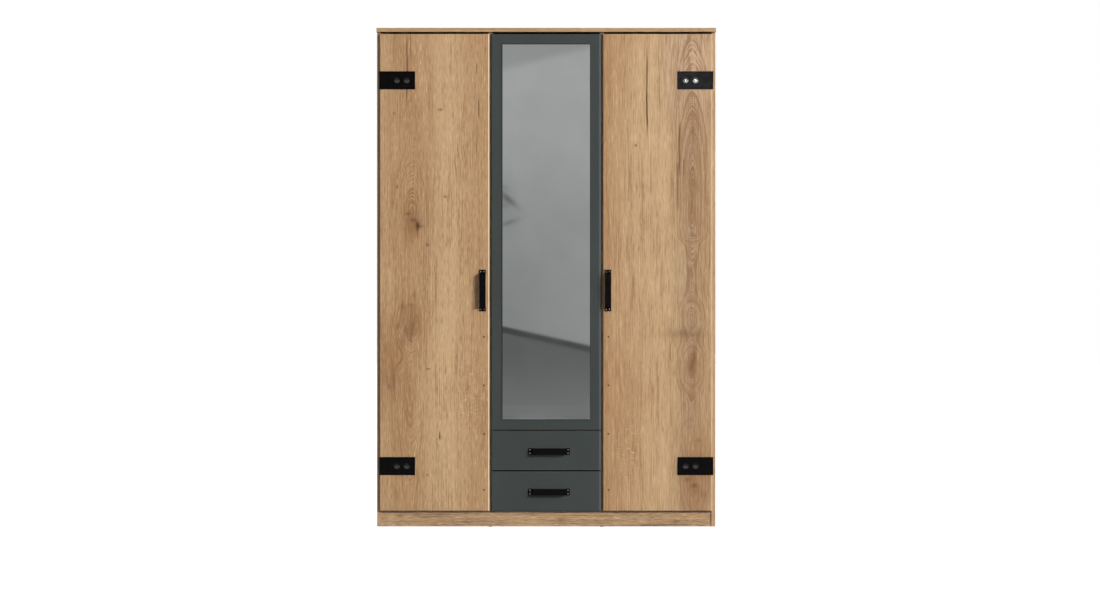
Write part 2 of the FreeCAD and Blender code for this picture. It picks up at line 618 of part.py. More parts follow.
def hinges():
    """All hinges: arms and plates on the carcass, links and cups on the doors."""
    arm = hinge_arm()
    arm_right = mirrored("hinge_arm_right", arm)
    link = hinge_link()
    cup = hinge_cup()
    plate = hinge_plate("hinge_plate_wide", f"(-{INNER} - {LEFT_PIVOT})")
    plate_right = mirrored("hinge_plate_right", plate)
    plate_mirror = hinge_plate("hinge_plate_mirror", f"(-{WALL_IN} - {MIRROR_PIVOT})")
    left = [(LEFT_PIVOT, PIVOT_Y, z) for z in OUTER_HINGES]
    right = [(f"-{LEFT_PIVOT}", PIVOT_Y, z) for z in OUTER_HINGES]
    middle = [(MIRROR_PIVOT, PIVOT_Y, z) for z in MIRROR_HINGES]
    keep(copies("hinge_arms", [(arm, *at) for at in left + middle] + [(arm_right, *at) for at in right]))
    keep(copies("hinge_plates", [(plate, *at) for at in left] + [(plate_mirror, *at) for at in middle]
                + [(plate_right, *at) for at in right]))
    for kind, master in (("hinge_links", link), ("hinge_cups", cup)):
        keep(copies(f"left_{kind}", [(master, *at) for at in left]))
        keep(mirrored(f"right_{kind}", sub_parts[-1]))
        keep(copies(f"mirror_{kind}", [(master, *at) for at in middle]))


def carcass_screws():
    """Screws of the hinge plates, rail sockets, runner bars and wall brackets."""
    on_left = wood_screw("wood_screw")
    on_right = mirrored("wood_screw_twin", on_left)
    plate_y = f"({FRONT} + plate_setback)"
    places = []
    for z in OUTER_HINGES:
        for sign in ("-", "+"):
            places.append((on_left, f"2.5 - {INNER}", plate_y, f"{z} {sign} plate_screw"))
            places.append((on_right, f"{INNER} - 2.5", plate_y, f"{z} {sign} plate_screw"))
    for z in MIRROR_HINGES:
        for sign in ("-", "+"):
            places.append((on_left, f"2.5 - {WALL_IN}", plate_y, f"{z} {sign} plate_screw"))
    walls = [(on_left, f"-{INNER} + socket_wall"), (on_right, f"-{WALL_OUT} - socket_wall"),
             (on_left, f"{WALL_OUT} + socket_wall"), (on_right, f"{INNER} - socket_wall")]
    for master, x in walls:
        for z in ("- 27", "+ 27"):
            places.append((master, x, RAIL_Y, f"{RAIL_Z} {z}"))
    sunk = joined("sunk_screw", [rod("sunk_screw_head", "X", ("4.8", "0", "0"), "3.4", "1.5"),
                                 rod("sunk_screw_shank", "X", ("-10", "0", "0"), "1.7", "15")])
    sunk_twin = mirrored("sunk_screw_twin", sunk)
    for bottom in DRAWERS.values():
        for y, z in runner_spots(bottom):
            places.append((sunk, f"-{WALL_IN}", y, z))
            places.append((sunk_twin, WALL_IN, y, z))
    bracket_screw = upward_screw("bracket_screw")
    for sign in ("-", ""):
        for x in ("- 11", "+ 11"):
            places.append((bracket_screw, f"{sign}{BAY_MIDDLE} {x}", f"{REAR} - bracket_leg / 2 - 4",
                           f"{TOP_UNDER} - bracket_thick"))
    keep(copies("carcass_screws", places))


def upward_screw(name):
    """A screw driven upwards, its head below the origin."""
    head = rod(name + "_head", "Z", ("0", "0", "-1.8"), "3.4", "1.8")
    shank = rod(name + "_shank", "Z", ("0", "0", "-0.5"), "1.7", "12")
    return joined(name, [head, shank])


def front_panel(name, x, z, height):
    """A door or drawer front with a rounded edge band, its back face against y = 0 of its body."""
    body = new_body(name)
    place(body, x, DOOR_BACK, z)
    half = "(door_width / 2)"
    sketch = outline(body, name + "_outline", "XZ_Plane",
                     [(f"-{half}", "0"), (half, "0"), (half, height), (f"-{half}", height)])
    slab = pad(body, name + "_slab", sketch, "door_thick")
    front = -number("door_thick")
    round_off(body, name + "_round", slab, lambda edge: all_at(edge, "y", front), "edge_round")
    return body


def cup_bores(name, pivot, levels):
    """Blind bores for the hinge cups in a door's back face."""
    start_y = f"{DOOR_BACK} - cup_depth"
    return [rod(f"{name}_cup_bore_{index}", "Y", (f"{pivot} + cup_offset", start_y, z),
                "cup_radius", "cup_depth + 1")
            for index, z in enumerate(levels, 1)]


def handle(name, x, z, lying):
    """A bow handle: bent steel strip with a flange at each end, upright or lying."""
    body = new_body(name + "_strip")
    end = "(handle_length / 2)"
    foot = "(handle_length / 2 - flange_length)"
    knee = f"({foot} - leg_slant)"
    inside = "(handle_reach - handle_strip)"
    upper = [("0", end), ("-handle_strip", end), ("-handle_strip", foot), ("-handle_reach", knee)]
    under = [(f"-{inside}", f"({knee} - handle_strip)"), ("0", f"({foot} - handle_strip)")]
    lower = [(y, f"-{z_text}") for y, z_text in upper[::-1]]
    under_low = [(y, f"-{z_text}") for y, z_text in under]
    sketch = outline(body, name + "_profile", "YZ_Plane", upper + lower + under_low[::-1] + under)
    band = pad(body, name + "_band", sketch, "grip_width", midplane=True)
    front, back = -number("handle_reach"), -number(inside)
    across = number("grip_width")

    def bend(edge):
        crosses = abs(edge.Length - across) < 1e-4
        return crosses and (all_at(edge, "y", front) or all_at(edge, "y", back))

    round_off(body, name + "_bends", band, bend, "handle_strip * 0.9")
    flanges = []
    for index, sign in enumerate(("-", ""), 1):
        span = (f"{end} - flange_length", end) if sign == "" else (f"-{end}", f"flange_length - {end}")
        flanges.append(box(f"{name}_flange_{index}", ("-handle_width / 2", "handle_width / 2"),
                           ("-handle_strip", "0"), span))
    holes = [rod(f"{name}_hole_{index}", "Y", (x_text, "-handle_strip - 1", z_text),
                 "1.7", "handle_strip + 2")
             for index, (x_text, z_text) in enumerate(flange_spots(), 1)]
    obj = cut(name, joined(name + "_blank", [body] + flanges), holes)
    if lying:
        obj.Placement.Rotation = FreeCAD.Rotation(FreeCAD.Vector(0, 1, 0), 90)
    return place(obj, x, DOOR_FRONT, z)


def flange_spots():
    """Screws of an upright handle as (x, z) from its middle."""
    along = "(handle_length / 2 - flange_length / 2)"
    return [(f"{side}handle_screw_pitch / 2", f"{end}{along}") for side in ("-", "") for end in ("-", "")]


def dome_screw():
    """Handle screw: a low dome on the flange, the shank in the front behind it."""
    head = rod("dome_screw_head", "Y", ("0", "-handle_strip - 1", "0"), "3", "1")
    crown = rod("dome_screw_crown", "Y", ("0", "-handle_strip - 1.6", "0"), "2.1", "0.8")
    shank = rod("dome_screw_shank", "Y", ("0", "-handle_strip - 0.5", "0"), "1.6", "handle_strip + 12")
    return joined("dome_screw", [head, crown, shank])


def strap_bolt():
    """Strap bolt: a dome with a hexagon socket in front of the strap, the shank in the door."""
    ball = doc.addObject("Part::Sphere", "strap_bolt_ball")
    radius = "((bolt_rise * bolt_rise + bolt_radius * bolt_radius) / (2 * bolt_rise))"
    bind(ball, Radius=radius)
    place(ball, "0", f"{radius} - strap_thick - bolt_rise", "0")
    slab = rod("strap_bolt_slab", "Y", ("0", "-strap_thick - bolt_rise - 1", "0"),
               "bolt_radius", "bolt_rise + 1")
    dome = doc.addObject("Part::MultiCommon", "strap_bolt_dome")
    dome.Shapes = [ball, slab]
    shank = rod("strap_bolt_shank", "Y", ("0", "-strap_thick - 1", "0"), "3", "strap_thick + 12")
    socket = doc.addObject("Part::Prism", "strap_bolt_socket")
    socket.Polygon = 6
    socket.Placement.Rotation = TURNS["Y"]
    bind(socket, Circumradius="socket_radius", Height="socket_deep + 1")
    place(socket, "0", "-strap_thick - bolt_rise - 1", "0")
    return cut("strap_bolt", joined("strap_bolt_blank", [dome, shank]), [socket])


def straps():
    """Bent plates round the hinged edge of the left door, with two bolt holes each."""
    body = new_body("strap_plate")
    outer = "(-strap_thick)"
    sketch = outline(body, "strap_outline", "XY_Plane",
                     [(outer, outer), ("strap_length - strap_thick", outer),
                      ("strap_length - strap_thick", "0"), ("0", "0"),
                      ("0", "strap_return - strap_thick"), (outer, "strap_return - strap_thick")])
    plate = pad(body, "strap_pad", sketch, "strap_height", midplane=True)
    corner = -number("strap_thick")
    wanted = lambda edge: all_at(edge, "x", corner) and all_at(edge, "y", corner)
    round_off(body, "strap_bend", plate, wanted, "strap_thick * 0.8")
    holes = [rod(f"strap_hole_{index}", "Y", (x, "-strap_thick - 1", "0"), "3.1", "strap_thick + 2")
             for index, x in enumerate(bolt_columns(), 1)]
    master = cut("strap", body, holes)
    edge = f"(-{DOOR_SHIFT} - door_width / 2 - 0.01)"
    places = [(master, edge, f"{DOOR_FRONT} - 0.01", z) for z in ("strap_low", "strap_high")]
    keep(copies("left_door_straps", places))
    keep(mirrored("right_door_straps", sub_parts[-1]))


def bolt_columns():
    first = "(strap_length - strap_thick - bolt_first)"
    return [first, f"({first} - bolt_pitch)"]


def outer_doors():
    door = front_panel("left_door_slab", f"-{DOOR_SHIFT}", "door_bottom", f"({DOOR_TOP} - door_bottom)")
    keep(cut("left_door_panel", door, cup_bores("left_door", LEFT_PIVOT, OUTER_HINGES)))
    keep(mirrored("right_door_panel", sub_parts[-1]))
    screw = dome_screw()
    bolt = strap_bolt()
    cup_screw = cup_screw_master()
    edge = f"-{DOOR_SHIFT} - door_width / 2"
    for side, flip in (("left", ""), ("right", "-")):
        handle_x = f"{flip}(-door_width / 2 - door_spacing - {side}_handle_inset)"
        keep(handle(f"{side}_door_handle", handle_x, "handle_height", lying=False))
        places = [(screw, f"{handle_x} + {x}", DOOR_FRONT, f"handle_height + {z}") for x, z in flange_spots()]
        for level in ("strap_low", "strap_high"):
            places += [(bolt, f"{flip}({edge} + {x})", f"{DOOR_FRONT} - 0.01", level) for x in bolt_columns()]
        places += cup_screw_places(cup_screw, LEFT_PIVOT, OUTER_HINGES, flip)
        keep(copies(f"{side}_door_fasteners", places))
    return screw, cup_screw


def cup_screw_master():
    """Flat-headed screw in the flange of a hinge cup."""
    head = rod("cup_screw_head", "Y", ("0", "1.2", "0"), "3.2", "0.8")
    shank = rod("cup_screw_shank", "Y", ("0", "-11", "0"), "1.7", "12.6")
    return joined("cup_screw", [head, shank])


def cup_screw_places(master, pivot, levels, flip=""):
    return [(master, f"{flip}({pivot} + cup_offset + 5.5)", DOOR_BACK, f"{z} {sign} 22.5")
            for z in levels for sign in ("-", "+")]


def mirror_door(cup_screw):
    height = f"({DOOR_TOP} - {MIRROR_BOTTOM})"
    door = front_panel("mirror_door_slab", "0", MIRROR_BOTTOM, height)
    keep(cut("mirror_door_panel", door, cup_bores("mirror_door", MIRROR_PIVOT, MIRROR_HINGES)))
    pane = new_body("mirror_glass")
    place(pane, "0", DOOR_FRONT, f"{MIRROR_BOTTOM} + mirror_end")
    half = "(door_width / 2 - mirror_side)"
    tall = f"({height} - 2 * mirror_end)"
    sketch = outline(pane, "mirror_outline", "XZ_Plane",
                     [(f"-{half}", "0"), (half, "0"), (half, tall), (f"-{half}", tall)])
    slab = pad(pane, "mirror_slab", sketch, "mirror_thick")
    doc.recompute()
    front = -number("mirror_thick")
    face = [f"Face{index}" for index, face in enumerate(slab.Shape.Faces, 1)
            if abs(face.CenterOfMass.y - front) < 1e-4]
    bevel = pane.newObject("PartDesign::Chamfer", "mirror_ground_edge")
    bevel.Base = (slab, face)
    bevel.ChamferType = "Two distances"
    bind(bevel, Size="bevel_depth", Size2="bevel_width")
    keep(pane)
    keep(copies("mirror_door_fasteners", cup_screw_places(cup_screw, MIRROR_PIVOT, MIRROR_HINGES)))


def drawer(name, bottom, screw):
    """One drawer: front, two grooved sides, back, bottom, handle and fasteners."""
    low = f"({bottom} + drawer_lift)"
    top = f"({low} + drawer_tall)"
    outside = f"({WALL_IN} - drawer_clear)"
    inside = f"({outside} - drawer_side)"
    rear = f"({DOOR_BACK} + drawer_depth)"
    runner = f"({low} + drawer_tall / 2)"
    keep(front_panel(f"{name}_front", "0", bottom, "front_height"))

    side = box(f"{name}_side_board", (f"-{outside}", f"-{inside}"), (DOOR_BACK, rear), (low, top))
    slide = box(f"{name}_slide_groove", (f"-{outside} - 1", f"-{outside} + runner_bite + 0.5"),
                (f"{FRONT} + runner_start - 6", f"{rear} + 1"),
                (f"{runner} - runner_tall / 2 - 0.4", f"{runner} + runner_tall / 2 + 0.1"))
    floor_low = f"({low} + bottom_lift)"
    groove = box(f"{name}_floor_groove", (f"-{inside} - bottom_bite - groove_air", f"-{inside} + 1"),
                 (f"{DOOR_BACK} - 1", f"{rear} + 1"),
                 (f"{floor_low} - groove_air", f"{floor_low} + back_thick + groove_air"))
    keep(cut(f"{name}_left_side", side, [slide, groove]))
    keep(mirrored(f"{name}_right_side", sub_parts[-1]))

    keep(box(f"{name}_back", (f"-{inside}", inside), (f"{rear} - drawer_side", rear),
             (f"{floor_low} + back_thick + groove_air", top)))
    keep(box(f"{name}_bottom", (f"-{inside} - bottom_bite", f"{inside} + bottom_bite"), (DOOR_BACK, rear),
             (floor_low, f"{floor_low} + back_thick")))
    middle = f"({bottom} + front_height / 2 - handle_drop)"
    keep(handle(f"{name}_handle", "drawer_handle_shift", middle, lying=True))

    places = []
    for x, z in flange_spots():
        places.append((screw, f"drawer_handle_shift + {z}", DOOR_FRONT, f"{middle} + {x}"))
    joint_screw = rod(f"{name}_joint_screw", "X", (f"-{outside} - 0.6", "0", "0"), "3.2", "34")
    joint_twin = mirrored(f"{name}_joint_screw_twin", joint_screw)
    cam = rod(f"{name}_cam", "X", (f"-{inside} - 9", "0", "0"), "6", "9.2")
    cam_twin = mirrored(f"{name}_cam_twin", cam)
    for z in (f"{low} + 26", f"{top} - 22"):
        for master in (joint_screw, joint_twin):
            places.append((master, "0", f"{rear} - drawer_side / 2", z))
        for master in (cam, cam_twin):
            places.append((master, "0", f"{DOOR_BACK} + 26", z))
    keep(copies(f"{name}_fasteners", places))


def runner_spots(bottom):
    """Screws of a runner bar as (y, z)."""
    level = f"({bottom} + drawer_lift + drawer_tall / 2)"
    return [(f"({FRONT} + runner_start + {along})", level) for along in (40, 220, 400)]


def cabinet_runners():
    """Hardwood bars screwed to the partitions; the grooves of the drawer sides run on them."""
    bars = []
    for name, bottom in DRAWERS.items():
        level = f"({bottom} + drawer_lift + drawer_tall / 2)"
        start = f"({FRONT} + runner_start)"
        bar = box(f"{name}_runner_bar", (f"-{WALL_IN}", f"-{WALL_IN} + drawer_clear + runner_bite"),
                  (start, f"{start} + runner_length"),
                  (f"{level} - runner_tall / 2", f"{level} + runner_tall / 2"))
        bores = []
        for index, (y, z) in enumerate(runner_spots(bottom), 1):
            bores.append(rod(f"{name}_runner_seat_{index}", "X", (f"-{WALL_IN} + 4.8", y, z), "3.8", "5"))
            bores.append(rod(f"{name}_runner_bore_{index}", "X", (f"-{WALL_IN} - 1", y, z), "1.8", "10"))
        left = cut(f"{name}_runner_left", bar, bores)
        bars += [left, mirrored(f"{name}_runner_right", left)]
    keep(group("cabinet_runners", bars))


def build():
    side_panels()
    partitions()
    top_and_bottom()
    plinths_and_glides()
    back_panels()
    back_panel_nails()
    shelves()
    shelf_pins()
    clothes_rails()
    cam_locks()
    dowels()
    wall_brackets()
    door_bumpers()
    hinges()
    carcass_screws()
    straps()
    screw, cup_screw = outer_doors()
    mirror_door(cup_screw)
    cabinet_runners()
    for name, bottom in DRAWERS.items():
        drawer(name, bottom, screw)
    doc.recompute()


def check_and_export():
    """Stops on any broken object, then writes one STEP file for each sub-part."""
    for obj in doc.Objects:
        if "Invalid" in obj.State or "Error" in obj.State:
            raise RuntimeError(f"{obj.Label} did not compute: {obj.State}")
    os.makedirs("parts", exist_ok=True)
    for part in sub_parts:
        if part.Shape.isNull() or not part.Shape.isValid() or not part.Shape.Solids:
            raise RuntimeError(f"{part.Label} has no valid solid")
        part.Shape.exportStep(f"parts/{part.Label}.step")


build()
check_and_export()
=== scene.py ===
"""Studio view of the three-door wardrobe: materials for every part, floor, lights and camera.

Metres, +Z up, front towards -Y. The parts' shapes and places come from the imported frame.
"""

import math

import bmesh
import bpy
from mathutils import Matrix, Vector

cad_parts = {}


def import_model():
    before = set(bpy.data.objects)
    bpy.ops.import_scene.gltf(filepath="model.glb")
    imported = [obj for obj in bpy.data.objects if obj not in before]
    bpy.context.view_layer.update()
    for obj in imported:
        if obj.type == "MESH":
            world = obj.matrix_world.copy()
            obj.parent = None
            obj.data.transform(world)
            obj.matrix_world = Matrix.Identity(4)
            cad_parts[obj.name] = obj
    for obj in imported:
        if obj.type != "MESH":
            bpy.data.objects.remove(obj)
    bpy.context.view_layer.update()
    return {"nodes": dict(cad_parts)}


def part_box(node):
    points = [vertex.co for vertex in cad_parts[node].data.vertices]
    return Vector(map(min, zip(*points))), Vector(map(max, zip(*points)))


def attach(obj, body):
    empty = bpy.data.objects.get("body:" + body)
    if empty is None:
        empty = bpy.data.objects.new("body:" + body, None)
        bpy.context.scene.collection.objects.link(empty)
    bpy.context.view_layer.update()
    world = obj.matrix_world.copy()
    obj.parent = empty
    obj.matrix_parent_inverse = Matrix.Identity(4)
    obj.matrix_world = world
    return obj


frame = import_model()
nodes = frame["nodes"]

FRONT_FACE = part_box("left_door_panel")[0].y
BACK_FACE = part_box("left_door_panel")[1].y
CAMERA_DISTANCE = 24.0
CAMERA = Vector((0.015, FRONT_FACE - CAMERA_DISTANCE, 0.905))
VIEW_WIDTH = 4.386
# Two glowing cards for the mirror to show, hidden from the camera: a wall far in front of the wardrobe,
# painted with a room's light and shade, and the strip of floor before it.
CARD_DISTANCE = 27.5
CARD_HALF_WIDTH = 0.75
CARD_HEIGHT = 4.2
RUG_START = 20.5
RUG_LEVEL = 0.002
FLOOR_REACH = 60.0
WARDROBE_MIDDLE = (0.0, -0.3, 1.0)
KEY_PLACE = (11.6, -15.7, 5.8)
# Painted leaf shadows on the glowing card that the mirror shows: start and end as (x, z) on the mirror,
# half width, darkness.
PAINTED_LEAF_SHADOWS = [
    ((-0.190, 1.345), (-0.115, 1.275), 0.010, 0.55), ((-0.190, 1.320), (-0.130, 1.290), 0.012, 0.35),
    ((-0.190, 1.200), (-0.110, 1.226), 0.008, 0.45), ((-0.185, 1.365), (-0.150, 1.345), 0.006, 0.30),
    ((-0.185, 1.280), (-0.150, 1.280), 0.007, 0.30), ((-0.180, 1.400), (-0.150, 1.180), 0.050, 0.16),
]


def srgb(red, green, blue):
    """A colour as seen on a screen, 0 to 255, as the renderer's linear colour."""
    parts = [value / 255 for value in (red, green, blue)]
    linear = [((part + 0.055) / 1.055) ** 2.4 if part > 0.04 else part / 12.92 for part in parts]
    return (*linear, 1.0)


class Shader:
    """One material under construction. Inputs may be numbers or the outputs of other nodes."""

    def __init__(self, name):
        self.material = bpy.data.materials.new(name)
        self.material.use_nodes = True
        self.tree = self.material.node_tree
        self.surface = self.tree.nodes["Principled BSDF"]
        coordinates = self.tree.nodes.new("ShaderNodeTexCoord")
        self.place = coordinates.outputs["Object"]
        split = self.add("ShaderNodeSeparateXYZ", {0: self.place}, output=None)
        self.x, self.y, self.z = split.outputs

    def add(self, kind, inputs, output=0, **settings):
        """A new node, with its inputs linked or set; returns one output, or the node for output=None."""
        node = self.tree.nodes.new(kind)
        for name, value in settings.items():
            setattr(node, name, value)
        for key, value in inputs.items():
            if isinstance(value, bpy.types.NodeSocket):
                self.tree.links.new(value, node.inputs[key])
            else:
                node.inputs[key].default_value = value
        return node if output is None else node.outputs[output]

    def math(self, operation, *values, clamp=False):
        return self.add("ShaderNodeMath", dict(enumerate(values)), operation=operation, use_clamp=clamp)

    def total(self, *values):
        result = values[0]
        for value in values[1:]:
            result = self.math("ADD", result, value)
        return result

    def times(self, *values):
        result = values[0]
        for value in values[1:]:
            result = self.math("MULTIPLY", result, value)
        return result

    def vector(self, x, y, z):
        return self.add("ShaderNodeCombineXYZ", {0: x, 1: y, 2: z})

    def noise(self, vector, scale=1.0, detail=2.0, roughness=0.5, distortion=0.0):
        """Smooth noise about 0, most of it between -0.3 and 0.3."""
        value = self.add("ShaderNodeTexNoise", {"Vector": vector, "Scale": scale, "Detail": detail,
                                                "Roughness": roughness, "Distortion": distortion})
        return self.math("SUBTRACT", value, 0.5)

    def noise_along(self, w, scale, detail=2.0):
        """The same noise along a single coordinate."""
        value = self.add("ShaderNodeTexNoise", {"W": w, "Scale": scale, "Detail": detail},
                         noise_dimensions="1D")
        return self.math("SUBTRACT", value, 0.5)

    def ramp(self, value, low, high, out_low=0.0, out_high=1.0):
        """Goes smoothly from out_low to out_high while value goes from low to high."""
        return self.add("ShaderNodeMapRange", {0: value, 1: low, 2: high, 3: out_low, 4: out_high},
                        interpolation_type="SMOOTHSTEP")

    def mix(self, share, first, second):
        """The first colour at a share of 0, the second at 1."""
        return self.add("ShaderNodeMix", {0: share, 6: first, 7: second}, output=2, data_type="RGBA")

    def spot(self, centre, size, height, plane=("x", "z")):
        """A smooth bump of the given height: 1 / e of it is left at size (across, up) from the centre."""
        squares = []
        for axis, middle, reach in zip(plane, centre, size):
            offset = self.math("MULTIPLY_ADD", getattr(self, axis), 1 / reach, -middle / reach)
            squares.append(self.math("MULTIPLY", offset, offset))
        fall = self.math("EXPONENT", self.math("MULTIPLY", self.total(*squares), -1.0))
        return self.math("MULTIPLY", fall, height)

    def glow(self, colour):
        """A material that only shines in the given colour."""
        emitter = self.add("ShaderNodeEmission", {"Color": colour, "Strength": 1.0})
        self.tree.links.new(emitter, self.tree.nodes["Material Output"].inputs["Surface"])
        return self.material

    def finish(self, colour, roughness, bump=None, strength=0.2, depth=0.0005, **fixed):
        """Links colour, roughness and bump, and sets the shader's other values."""
        for name, value in (("Base Color", colour), ("Roughness", roughness)):
            if isinstance(value, bpy.types.NodeSocket):
                self.tree.links.new(value, self.surface.inputs[name])
            else:
                self.surface.inputs[name].default_value = value
        if bump is not None:
            normal = self.add("ShaderNodeBump", {"Height": bump, "Strength": strength, "Distance": depth})
            self.tree.links.new(normal, self.surface.inputs["Normal"])
        for name, value in fixed.items():
            self.surface.inputs[name.replace("_", " ")].default_value = value
        return self.material


# Oak colours as seen on a screen, 0 to 255.
BROWN = (146, 108, 74)
RUSSET = (165, 129, 92)
DUSKY = (160, 133, 105)
HONEY = (175, 143, 106)
STRAW = (185, 154, 116)
CREAM = (195, 163, 123)
ROSY = (187, 158, 131)
# Oak decor of the two outer doors, in metres on the door fronts: x is across, z is up.
# HEART is the x of the middle of the log, and DEPTH holds (z, how far it lies behind the board there).
# Where the depth changes, the growth lines close into arches and ovals; elsewhere they run straight.
# SWIRLS bend the growth lines sideways: (place, size, push). KNOTS are dark spots: (place, size, darkness).
# CRACKS are dark lines along the grain: (x, lowest z, highest z, width, darkness).
# TONES are the colours across a door: (x, colour). TINTS recolour a patch: (place, size, share, colour).
# FLECKS is the patch with pale cross ripples: (place, size). RINGS are the patches where the growth
# lines stand out: (place, size, share).
LEFT_HEART = -0.538
LEFT_DEPTH = [(0.0, 0.060), (0.30, 0.050), (0.55, 0.030), (0.68, 0.055), (0.80, 0.020), (0.95, 0.050),
              (1.10, 0.040), (1.21, 0.004), (1.30, 0.026), (1.42, 0.055), (1.60, 0.080), (2.0, 0.095)]
LEFT_SWIRLS = [
    ((-0.513, 1.201), (0.022, 0.060), 0.016), ((-0.553, 1.251), (0.020, 0.040), -0.012),
    ((-0.545, 0.830), (0.050, 0.080), -0.030), ((-0.600, 0.640), (0.028, 0.130), 0.020),
    ((-0.330, 0.540), (0.050, 0.200), 0.018), ((-0.335, 1.440), (0.030, 0.150), -0.016),
    ((-0.422, 1.664), (0.018, 0.050), 0.008), ((-0.403, 1.317), (0.016, 0.050), 0.008),
    ((-0.472, 1.125), (0.016, 0.050), -0.008),
]
LEFT_KNOTS = [
    ((-0.513, 1.201), (0.008, 0.014), 0.95), ((-0.530, 1.224), (0.012, 0.007), 0.45),
    ((-0.551, 1.249), (0.012, 0.006), 0.55), ((-0.513, 1.180), (0.003, 0.026), 0.55),
    ((-0.499, 1.199), (0.012, 0.004), 0.40), ((-0.520, 1.212), (0.040, 0.036), 0.25),
    ((-0.422, 1.664), (0.009, 0.005), 0.70), ((-0.607, 1.649), (0.004, 0.005), 0.60),
    ((-0.595, 1.357), (0.004, 0.006), 0.75), ((-0.403, 1.317), (0.005, 0.005), 0.75),
    ((-0.472, 1.125), (0.005, 0.006), 0.80), ((-0.525, 0.925), (0.008, 0.022), 0.40),
    ((-0.575, 0.880), (0.012, 0.014), 0.30), ((-0.553, 0.820), (0.030, 0.070), 0.20),
    ((-0.560, 0.780), (0.007, 0.020), 0.35), ((-0.530, 0.800), (0.007, 0.016), 0.30),
    ((-0.611, 0.610), (0.004, 0.045), 0.40), ((-0.625, 0.560), (0.007, 0.012), 0.40),
    ((-0.471, 0.630), (0.008, 0.003), 0.80), ((-0.474, 0.207), (0.005, 0.005), 0.55),
    ((-0.425, 0.363), (0.003, 0.012), 0.55), ((-0.575, 0.735), (0.010, 0.022), 0.35),
    ((-0.540, 0.760), (0.005, 0.030), 0.35), ((-0.590, 0.800), (0.016, 0.009), 0.30),
    ((-0.634, 0.580), (0.003, 0.035), 0.45), ((-0.607, 0.570), (0.003, 0.030), 0.45),
    ((-0.661, 0.785), (0.006, 0.040), 0.30), ((-0.540, 0.885), (0.012, 0.010), 0.35),
]
LEFT_CRACKS = [
    (-0.5555, 1.660, 1.985, 0.0020, 0.95), (-0.5410, 1.850, 1.985, 0.0014, 0.65),
    (-0.5200, 1.590, 1.700, 0.0012, 0.40), (-0.2780, 1.800, 1.850, 0.0018, 0.75),
    (-0.2690, 1.625, 1.715, 0.0022, 0.80), (-0.2600, 1.720, 1.930, 0.0012, 0.45),
    (-0.2760, 1.450, 1.640, 0.0014, 0.45), (-0.2860, 1.300, 1.700, 0.0012, 0.30),
    (-0.4250, 0.345, 0.385, 0.0018, 0.70),
]
LEFT_TONES = [(-0.67, HONEY), (-0.55, RUSSET), (-0.40, STRAW), (-0.22, RUSSET)]
LEFT_TINTS = [
    ((-0.64, 0.68), (0.05, 0.16), 0.9, BROWN), ((-0.55, 0.82), (0.05, 0.08), 0.5, BROWN),
    ((-0.57, 0.42), (0.06, 0.20), 0.3, BROWN), ((-0.53, 1.20), (0.05, 0.07), 0.5, BROWN),
    ((-0.50, 1.55), (0.08, 0.25), 0.5, RUSSET), ((-0.55, 1.84), (0.06, 0.15), 0.3, BROWN),
    ((-0.25, 0.40), (0.03, 0.25), 0.4, BROWN), ((-0.41, 0.55), (0.06, 0.22), 0.6, CREAM),
]
LEFT_FLECKS = ((-0.310, 0.520), (0.050, 0.150))
LEFT_RINGS = [
    ((-0.535, 1.310), (0.050, 0.110), 0.75), ((-0.555, 0.800), (0.060, 0.100), 0.90),
    ((-0.600, 0.600), (0.030, 0.120), 0.40), ((-0.335, 1.430), (0.035, 0.120), 0.30),
    ((-0.540, 0.300), (0.070, 0.180), 0.25),
]
RIGHT_HEART = 0.585
RIGHT_DEPTH = [(0.0, 0.045), (0.10, 0.030), (0.17, 0.004), (0.26, 0.034), (0.35, 0.020), (0.46, 0.052),
               (0.56, 0.036), (0.655, 0.004), (0.75, 0.042), (0.83, 0.030), (0.95, 0.060), (1.12, 0.056),
               (1.165, 0.016), (1.30, 0.004), (1.45, 0.018), (1.60, 0.040), (1.75, 0.066), (2.0, 0.098)]
RIGHT_SWIRLS = [
    ((0.600, 0.360), (0.040, 0.080), 0.016), ((0.320, 0.800), (0.050, 0.300), 0.014),
    ((0.357, 1.522), (0.016, 0.050), 0.006), ((0.480, 1.300), (0.030, 0.400), -0.010),
]
RIGHT_KNOTS = [
    ((0.5845, 1.590), (0.010, 0.024), 0.25), ((0.5850, 1.400), (0.030, 0.170), 0.20),
    ((0.5850, 1.163), (0.014, 0.009), 0.45), ((0.3575, 1.522), (0.004, 0.004), 0.95),
    ((0.5500, 0.772), (0.085, 0.018), 0.36), ((0.5850, 0.655), (0.012, 0.050), 0.30),
    ((0.5650, 0.190), (0.014, 0.012), 0.45), ((0.6050, 0.345), (0.016, 0.008), 0.30),
    ((0.4650, 0.390), (0.003, 0.012), 0.40), ((0.5950, 0.150), (0.022, 0.020), 0.20),
    ((0.5920, 0.690), (0.007, 0.035), 0.35), ((0.5750, 0.630), (0.010, 0.028), 0.35),
    ((0.5900, 0.165), (0.012, 0.010), 0.50), ((0.6300, 0.130), (0.016, 0.012), 0.30),
]
RIGHT_CRACKS = [
    (0.4015, 1.520, 1.935, 0.0022, 0.95), (0.4015, 1.590, 1.740, 0.0024, 0.45),
    (0.4525, 1.640, 1.860, 0.0014, 0.50), (0.5310, 1.380, 1.640, 0.0028, 0.70),
    (0.5240, 1.250, 1.480, 0.0036, 0.50), (0.5480, 1.390, 1.480, 0.0020, 0.60),
    (0.4520, 1.540, 1.650, 0.0014, 0.30),
]
RIGHT_TONES = [(0.22, RUSSET), (0.36, STRAW), (0.47, STRAW), (0.58, DUSKY), (0.67, HONEY)]
